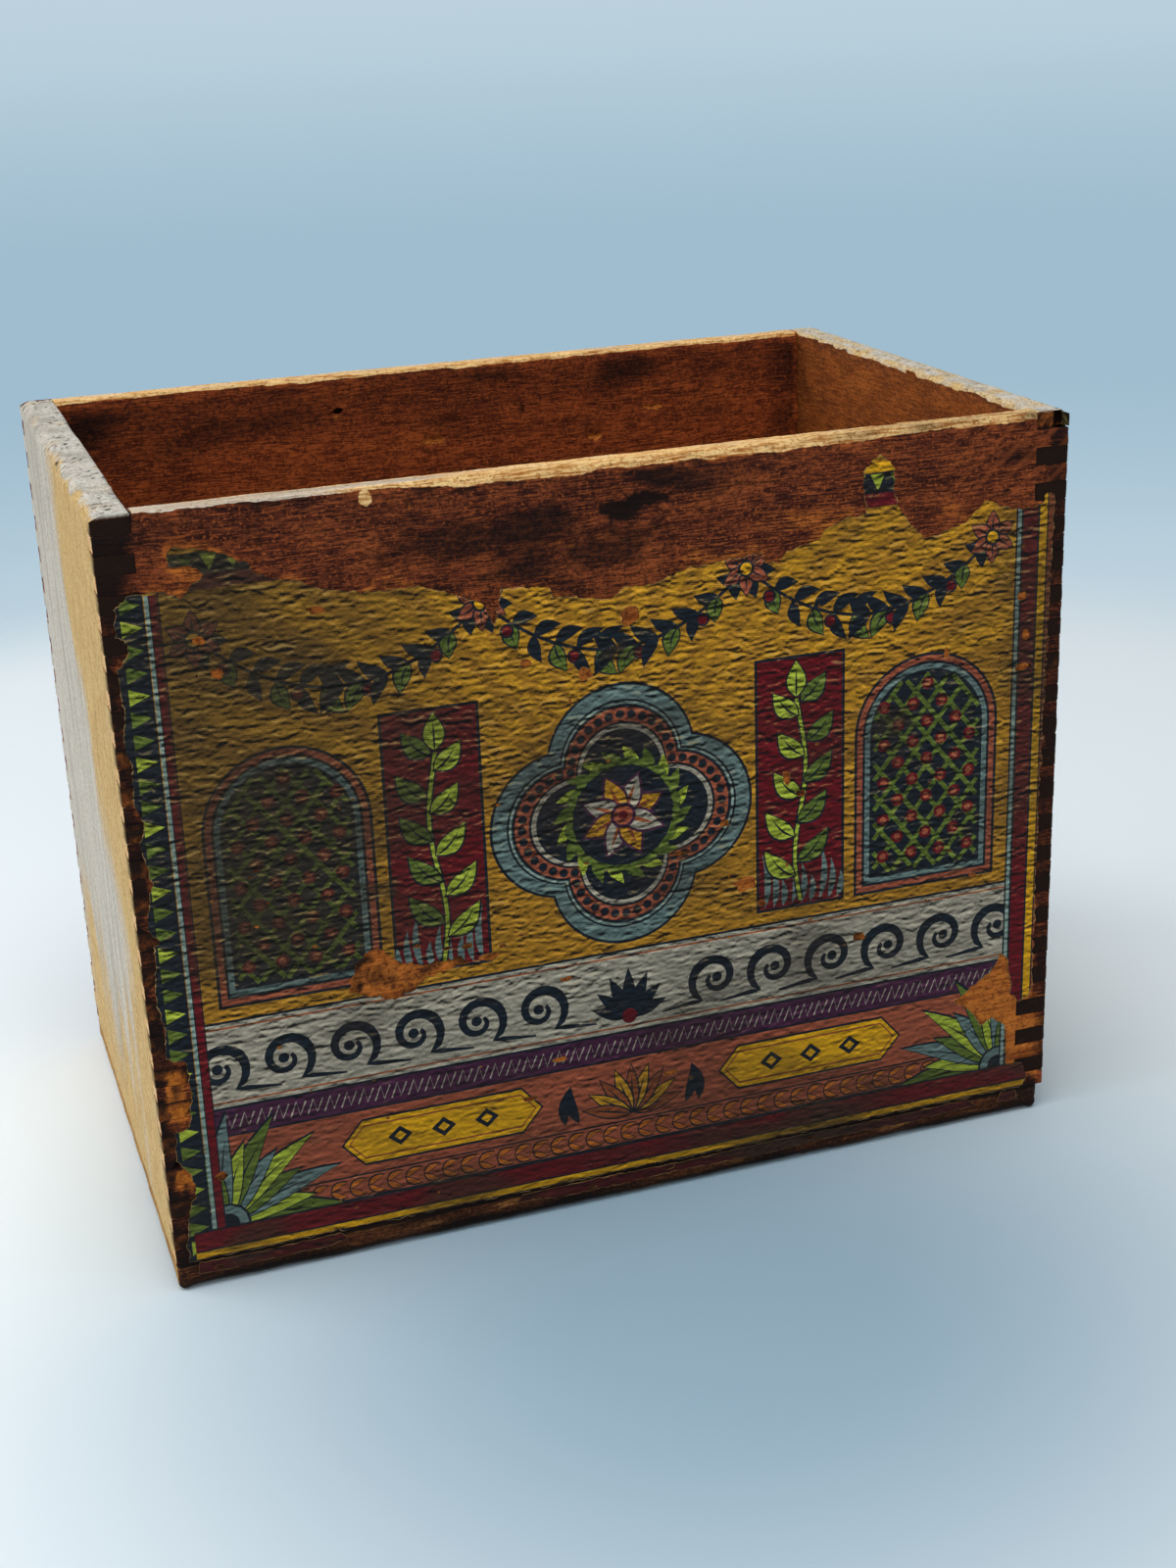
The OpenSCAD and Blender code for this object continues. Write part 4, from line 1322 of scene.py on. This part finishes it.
def pasted_paper(name, outline, holes, layers, fringe, material, replaced, lift_y, foot_z):
    """Printed paper with a real thickness: its print is cut into the mesh, so that each ink has its own faces."""
    def bared(edge, size, seed):
        return fringe * np.clip(0.4 + drift(*edge.T / size, seed), 0, 1)

    printed = shrunk(outline, bared(outline, 4, 75.0))
    rubbed = [shrunk(hole, -0.45 * bared(hole, 2, 76.0)) for hole in holes]
    low, high = outline.min(axis=0), outline.max(axis=0)
    cuts = [outline] + holes + [printed] + rubbed
    for layer, _ in layers:
        if (layer.max(axis=0) > low).all() and (layer.min(axis=0) < high).all():
            cuts.append(short_steps(np.clip(layer, low - 1, high + 1)))
    edges, first = [], 0
    for cut in cuts:
        edges += [(first + i, first + (i + 1) % len(cut)) for i in range(len(cut))]
        first += len(cut)
    spots = np.vstack(cuts)
    taken = set(map(tuple, np.round(spots / CELL)))
    # Loose points are spread in a squeezed plane, so that they lie close together across the ripples
    squeeze = RIPPLE_ALONG / RIPPLE_UP
    grid = scatter(low[0] / squeeze, low[1], high[0] / squeeze, high[1], RIPPLE_UP, 77) * (squeeze, 1)
    free = [tuple(cell) not in taken for cell in np.round(grid / CELL)]
    spots = [Vector(p) for p in np.vstack([spots, grid[free]])]
    corners, _, triangles, _, _, _ = delaunay_2d_cdt(spots, edges, [], 0, 1e-4, False)
    corners, triangles = np.array(corners), np.array(triangles)
    triangles = triangles[on_sheet(outline, holes, corners[triangles].mean(axis=1))]

    middles = corners[triangles].mean(axis=1)
    names = list(INKS)
    ink = np.zeros(len(triangles), int)
    on_print = np.flatnonzero(on_sheet(printed, rubbed, middles))
    for layer, colour in layers:
        ink[on_print[inside(layer, middles[on_print])]] = names.index(colour)

    used, triangles = np.unique(triangles, return_inverse=True)
    triangles = triangles.reshape(-1, 3)
    corners = corners[used]
    rise = cockle(*corners.T)
    front = lift_y - PAPER_T * (PAPER_BED + (1 - PAPER_BED) * rise)
    ends = {}
    for a, b, c in triangles.tolist():
        for edge in ((a, b), (b, c), (c, a)):
            if edge[::-1] in ends:
                del ends[edge[::-1]]
            else:
                ends[edge] = True
    rim = sorted({i for edge in ends for i in edge})
    order = {i: n for n, i in enumerate(rim)}
    behind = {i: len(corners) + n for i, n in order.items()}
    faces = triangles.tolist() + [(b, a, behind[a], behind[b]) for a, b in ends]
    back_corners, _, back, source, _, _ = delaunay_2d_cdt(
        [Vector(p) for p in corners[rim]], [(order[a], order[b]) for a, b in ends], [], 0, 1e-6)
    whole = on_sheet(outline, holes, np.array(back_corners)[np.array(back)].mean(axis=1))
    faces += [[behind[rim[source[c][0]]] for c in t[::-1]] for t, keep in zip(back, whole) if keep]

    flat = np.vstack([corners, corners[rim]])
    depth = np.concatenate([front, np.full(len(rim), lift_y - PASTE)])
    mesh = new_mesh(name, np.stack([front_low[0] + flat[:, 0], depth, foot_z + flat[:, 1]], axis=1), faces)
    palette = np.array([linear(INKS[n]) for n in names])
    per_face = np.concatenate([palette[ink], np.tile(palette[0], (len(faces) - len(ink), 1))])
    store(mesh, "ink", "FLOAT_COLOR", "CORNER", np.repeat(per_face, [len(face) for face in faces], axis=0))
    plain = np.zeros(len(rim))
    store(mesh, "fold", "FLOAT", "POINT", np.concatenate([rise, plain]))
    store(mesh, "soil", "FLOAT", "POINT", np.concatenate([grime(*corners.T), plain]))
    stand_for(mesh, material, replaced, PAPER_CREASE)


def printed_rag_paper():
    # Rag paper printed from stones in flat colours, once varnished: dull, a little glossy on the crests of its
    # crinkles, with painted light on their upper sides and crests and painted shade below them and in their valleys,
    # clouded by dust and damp, scuffed to bare paper in specks.
    material, tree, shader = start_material("stone-printed rag paper, varnish dulled")
    place = add(tree, "TexCoord", out="Object")
    ink = add(tree, "Attribute", attribute_name="ink", out="Color")
    fold = add(tree, "Attribute", attribute_name="fold", out="Fac")
    soil = add(tree, "Attribute", attribute_name="soil", out="Fac")
    fields = {}
    for field, length_mm, width_mm, detail in (
            ("cloud", 60, 32, 5.0), ("mottle", 7, 3, 5.0), ("speck", 1.1, 0.9, 3.0), ("stipple", 0.5, 0.5, 1.0)):
        spot = add(tree, "Mapping", {"Vector": place, "Scale": (1000 / length_mm, 1000 / width_mm, 1000 / width_mm)})
        fields[field] = add(tree, "TexNoise", {"Vector": spot, "Scale": 1.0, "Detail": detail, "Roughness": 0.65})
    colour = overlay(tree, ink, (
        (fields["cloud"], 0.46, 0.70, 0.6, "#261c15"), (fields["mottle"], 0.54, 0.72, 0.3, "#3d3126"),
        (soil, 0.0, 1.0, 0.85, "#2c2418")))
    # Sharp little crinkles, about 2 mm apart and 8 mm long, painted as if lit from above: painted light on their upper
    # sides, painted shade below, flatter low down
    sides = []
    for shift in (-0.0004, 0.0004):
        moved = add(tree, "VectorMath", {0: place, 1: (0.0, 0.0, shift)}, operation="ADD")
        spot = add(tree, "Mapping", {"Vector": moved, "Scale": (1000 / 4.2, 1000 / 1.15, 1000 / 1.15)})
        sides.append(add(tree, "TexNoise", {"Vector": spot, "Scale": 1.0, "Detail": 2.5, "Roughness": 0.55,
                                            "Distortion": 0.6}))
    lit = add(tree, "Math", {0: sides[0], 1: sides[1]}, operation="SUBTRACT")
    height = add(tree, "SeparateXYZ", {"Vector": place}, out="Z")
    strength = add(tree, "MapRange", {"Value": height, "From Min": 0.046, "From Max": 0.09, "To Min": 0.5,
                                      "To Max": 1.0})
    lit = add(tree, "Math", {0: lit, 1: strength}, operation="MULTIPLY")
    patchy = add(tree, "MapRange", {"Value": fields["mottle"], "From Min": 0.38, "From Max": 0.62, "To Min": 0.45,
                                    "To Max": 1.15})
    lit = add(tree, "Math", {0: lit, 1: patchy}, operation="MULTIPLY")
    # Painted light and shade: the print is made up to twice as light on the crinkles' upper sides and much darker just
    # below them
    painted_light_and_shade = add(tree, "MapRange", {"Value": lit, "From Min": -0.16, "From Max": 0.16, "To Min": 0.05, "To Max": 2.0})
    # Painted highlight and shade from the crinkle height: crests lighter, valleys darker
    crest_light_valley_shade = add(tree, "MapRange", {"Value": fold, "To Min": 0.72, "To Max": 1.32})
    painted_light_and_shade = add(tree, "Math", {0: painted_light_and_shade, 1: crest_light_valley_shade}, operation="MULTIPLY")
    colour = add(tree, "VectorMath", {0: colour, "Scale": painted_light_and_shade}, operation="SCALE")
    # Painted highlight: a pale tan laid on the crinkles' lit upper sides; then dark stipple and pale specks of bare
    # paper
    colour = overlay(tree, colour, (
        (lit, 0.1, 0.28, 0.32, "#c2a763"), (fields["stipple"], 0.58, 0.75, 0.3, "#1d1510"),
        (fields["speck"], 0.70, 0.78, 0.5, "#96713f")))
    dull = add(tree, "MapRange", {"Value": fold, "From Min": 0.3, "From Max": 0.9, "To Min": 0.68, "To Max": 0.46})
    ridges = add(tree, "Math", {0: sides[0], 1: 2.0, 2: fold}, operation="MULTIPLY_ADD")
    bump = add(tree, "Bump", {"Height": ridges, "Strength": 0.7, "Distance": 0.0003})
    feed(tree, shader, {"Base Color": colour, "Roughness": dull, "IOR": 1.47, "Specular IOR Level": 0.15,
                        "Normal": bump})
    return material


paper = printed_rag_paper()
pasted_paper("front_label_torn", label_outline, label_holes, prints, 0.3, paper, "front_label", FRONT_Y, SEAM_Z)

# What is left of the label's lower margin on the edge of the bottom board

STRIP_FOOT = node_corners("base_label_strip")[0][2]
strip_h = BASE_T - STRIP_FOOT
scraps = [[(5.5, 0.6), (14, 0.2), (30, 0.9), (40, 0.4), (45.5, 1.6), (44, 3.9), (20, 3.5), (6, 3.9)],
          [(93, 1.4), (110, 0.3), (140, 0.8), (165, 0.2), (190, 1.0), (212, 0.4), (234, 1.3), (231, 3.8), (200, 3.4),
           (170, 3.9), (140, 3.3), (118, 3.9), (95, 3.6)],
          [(241, 0.8), (247.5, 0.5), (247, 3.6), (242, 3.9)]]
for number, scrap in enumerate(scraps):
    outline = ragged(scrap, 0.8, 0.35, 80.0 + number)
    outline[:, 1] = np.clip(outline[:, 1], 0, strip_h)
    low, high = outline[:, 0].min(), outline[:, 0].max()
    middles = [(dice.uniform(low + 3, high - 3), dice.uniform(1.4, 2.8)) for _ in range(int((high - low) / 18))]
    pits = [flake(x, z, dice.uniform(0.5, 1.6), dice.uniform(0.25, 0.6), 100.0 + x) for x, z in middles]
    crimson = [(np.array(bar(0, -1, BOX_W, 6)), "dark_crimson")]
    name = "base_label_scrap_" + ("left", "middle", "right")[number]
    pasted_paper(name, outline, pits, crimson, 0.2, paper, "base_label_strip", FRONT_Y, STRIP_FOOT)

# Stage, lamps and camera

def pale_sweep():
    # Matt pale paper, almost white, with a painted shadow of cool grey blue in front of the box, and fading into the
    # backdrop.
    # Seen from below it isn't there, and it lets the room's light through to what stands on it, so that the underside
    # can be looked at.
    material, tree, shader = start_material("matt paper sweep")
    where = add(tree, "TexCoord", out="Object")
    reach = add(tree, "VectorMath", {0: where}, out="Value", operation="LENGTH")
    # Painted shadow: the floor is grey blue about a spot 0.14 m in front of the box's middle and turns almost white
    # 0.25 m from it
    before = add(tree, "VectorMath", {0: where, 1: (0.0, -0.14, 0.0)}, out="Value", operation="DISTANCE")
    colour = overlay(tree, linear("#93adbe"), ((before, 0.03, 0.25, 1.0, "#eaf2f7"),))
    feed(tree, shader, {"Base Color": colour, "Roughness": 0.9, "Specular IOR Level": 0.1})
    clear = add(tree, "BsdfTransparent")
    below = add(tree, "NewGeometry", out="Backfacing")
    far = add(tree, "MapRange", {"Value": reach, "From Min": 0.48, "From Max": 0.64}, interpolation_type="SMOOTHSTEP")
    gone = add(tree, "Math", {0: below, 1: far}, operation="MAXIMUM")
    travelled = add(tree, "LightPath", out="Ray Length")
    touching = add(tree, "Math", {0: travelled, 1: 0.002}, operation="LESS_THAN")
    gone = add(tree, "Math", {0: gone, 1: touching}, operation="MAXIMUM")
    both = add(tree, "MixShader", {0: gone, 1: shader.outputs["BSDF"], 2: clear})
    feed(tree, tree.nodes["Material Output"], {"Surface": both})
    return material


SWEEP = 0.8
floor_mesh = bpy.data.meshes.new("sweep")
floor_mesh.from_pydata([(SWEEP * x, SWEEP * y, 0) for x, y in bar(-1, -1, 1, 1)], [], [(0, 1, 2, 3)])
floor_mesh.materials.append(pale_sweep())
floor = bpy.data.objects.new("sweep", floor_mesh)
scene.collection.objects.link(floor)


ROOM_LIGHT = 0.4


def studio_world():
    """Even room light, and a pale blue backdrop for what looks straight at it."""
    world = bpy.data.worlds.new("studio")
    world.use_nodes = True
    tree = world.node_tree
    feed(tree, tree.nodes["Background"], {"Color": linear("#dfe8ee"), "Strength": ROOM_LIGHT})
    toward = add(tree, "TexCoord", out="Generated")
    slope = add(tree, "SeparateXYZ", {"Vector": toward}, out="Z")
    backdrop = overlay(tree, linear("#bdd2de"), (
        (slope, 0.0, -0.12, 1.0, "#a0bdcf"), (slope, -0.17, -0.3, 1.0, "#c3d6e1")))
    seen = add(tree, "Background", {"Color": backdrop, "Strength": 1.0})
    rays = add(tree, "LightPath", out="Is Camera Ray").node.outputs
    direct = add(tree, "Math", {0: rays["Is Camera Ray"], 1: rays["Is Glossy Ray"]}, operation="ADD")
    direct = add(tree, "Math", {0: direct, 1: rays["Is Transmission Ray"]}, operation="ADD", use_clamp=True)
    both = add(tree, "MixShader", {0: direct, 1: tree.nodes["Background"].outputs[0], 2: seen})
    feed(tree, tree.nodes["World Output"], {"Surface": both})
    return world


scene.world = studio_world()


def lamp(name, place, aim, size, watts, colour):
    light = bpy.data.lights.new(name, "AREA")
    light.shape = "DISK"
    light.size = size
    light.energy = watts
    light.color = linear(colour)[:3]
    holder = bpy.data.objects.new(name, light)
    holder.location = place
    holder.rotation_euler = (Vector(aim) - Vector(place)).to_track_quat("-Z", "Y").to_euler()
    scene.collection.objects.link(holder)


lamp("window_left", (-1.25, 0.3, 0.8), (0, 0, 0.1), 1.4, 12, "#fffaf4")
lamp("ceiling", (-0.15, -0.35, 1.5), (0, 0, 0.1), 1.0, 12, "#ffffff")
lamp("fill_front", (-0.3, -1.6, 0.9), (0, 0, 0.1), 1.4, 6, "#fffdf8")

AZIMUTH, ELEVATION, ROLL = -0.3221, 0.3597, -0.0383
DISTANCE, AIM = 0.567, Vector((-0.0098, FRONT_Y * MM, 0.1241))
PHOTO_H, FOCAL = 1600, 2240
camera = bpy.data.cameras.new("camera")
camera.sensor_fit = "VERTICAL"
camera.sensor_height = 36.0
camera.lens = camera.sensor_height * FOCAL / PHOTO_H
level_reach = math.cos(ELEVATION)
back = Vector((math.sin(AZIMUTH) * level_reach, -math.cos(AZIMUTH) * level_reach, math.sin(ELEVATION)))
across = (-back).cross(Vector((0, 0, 1))).normalized()
over = across.cross(-back)
cosine, sine = math.cos(ROLL), math.sin(ROLL)
turned = Matrix((cosine * across + sine * over, cosine * over - sine * across, back))
viewer = bpy.data.objects.new("camera", camera)
viewer.matrix_world = Matrix.Translation(AIM + back * DISTANCE) @ turned.transposed().to_4x4()
scene.collection.objects.link(viewer)
scene.camera = viewer
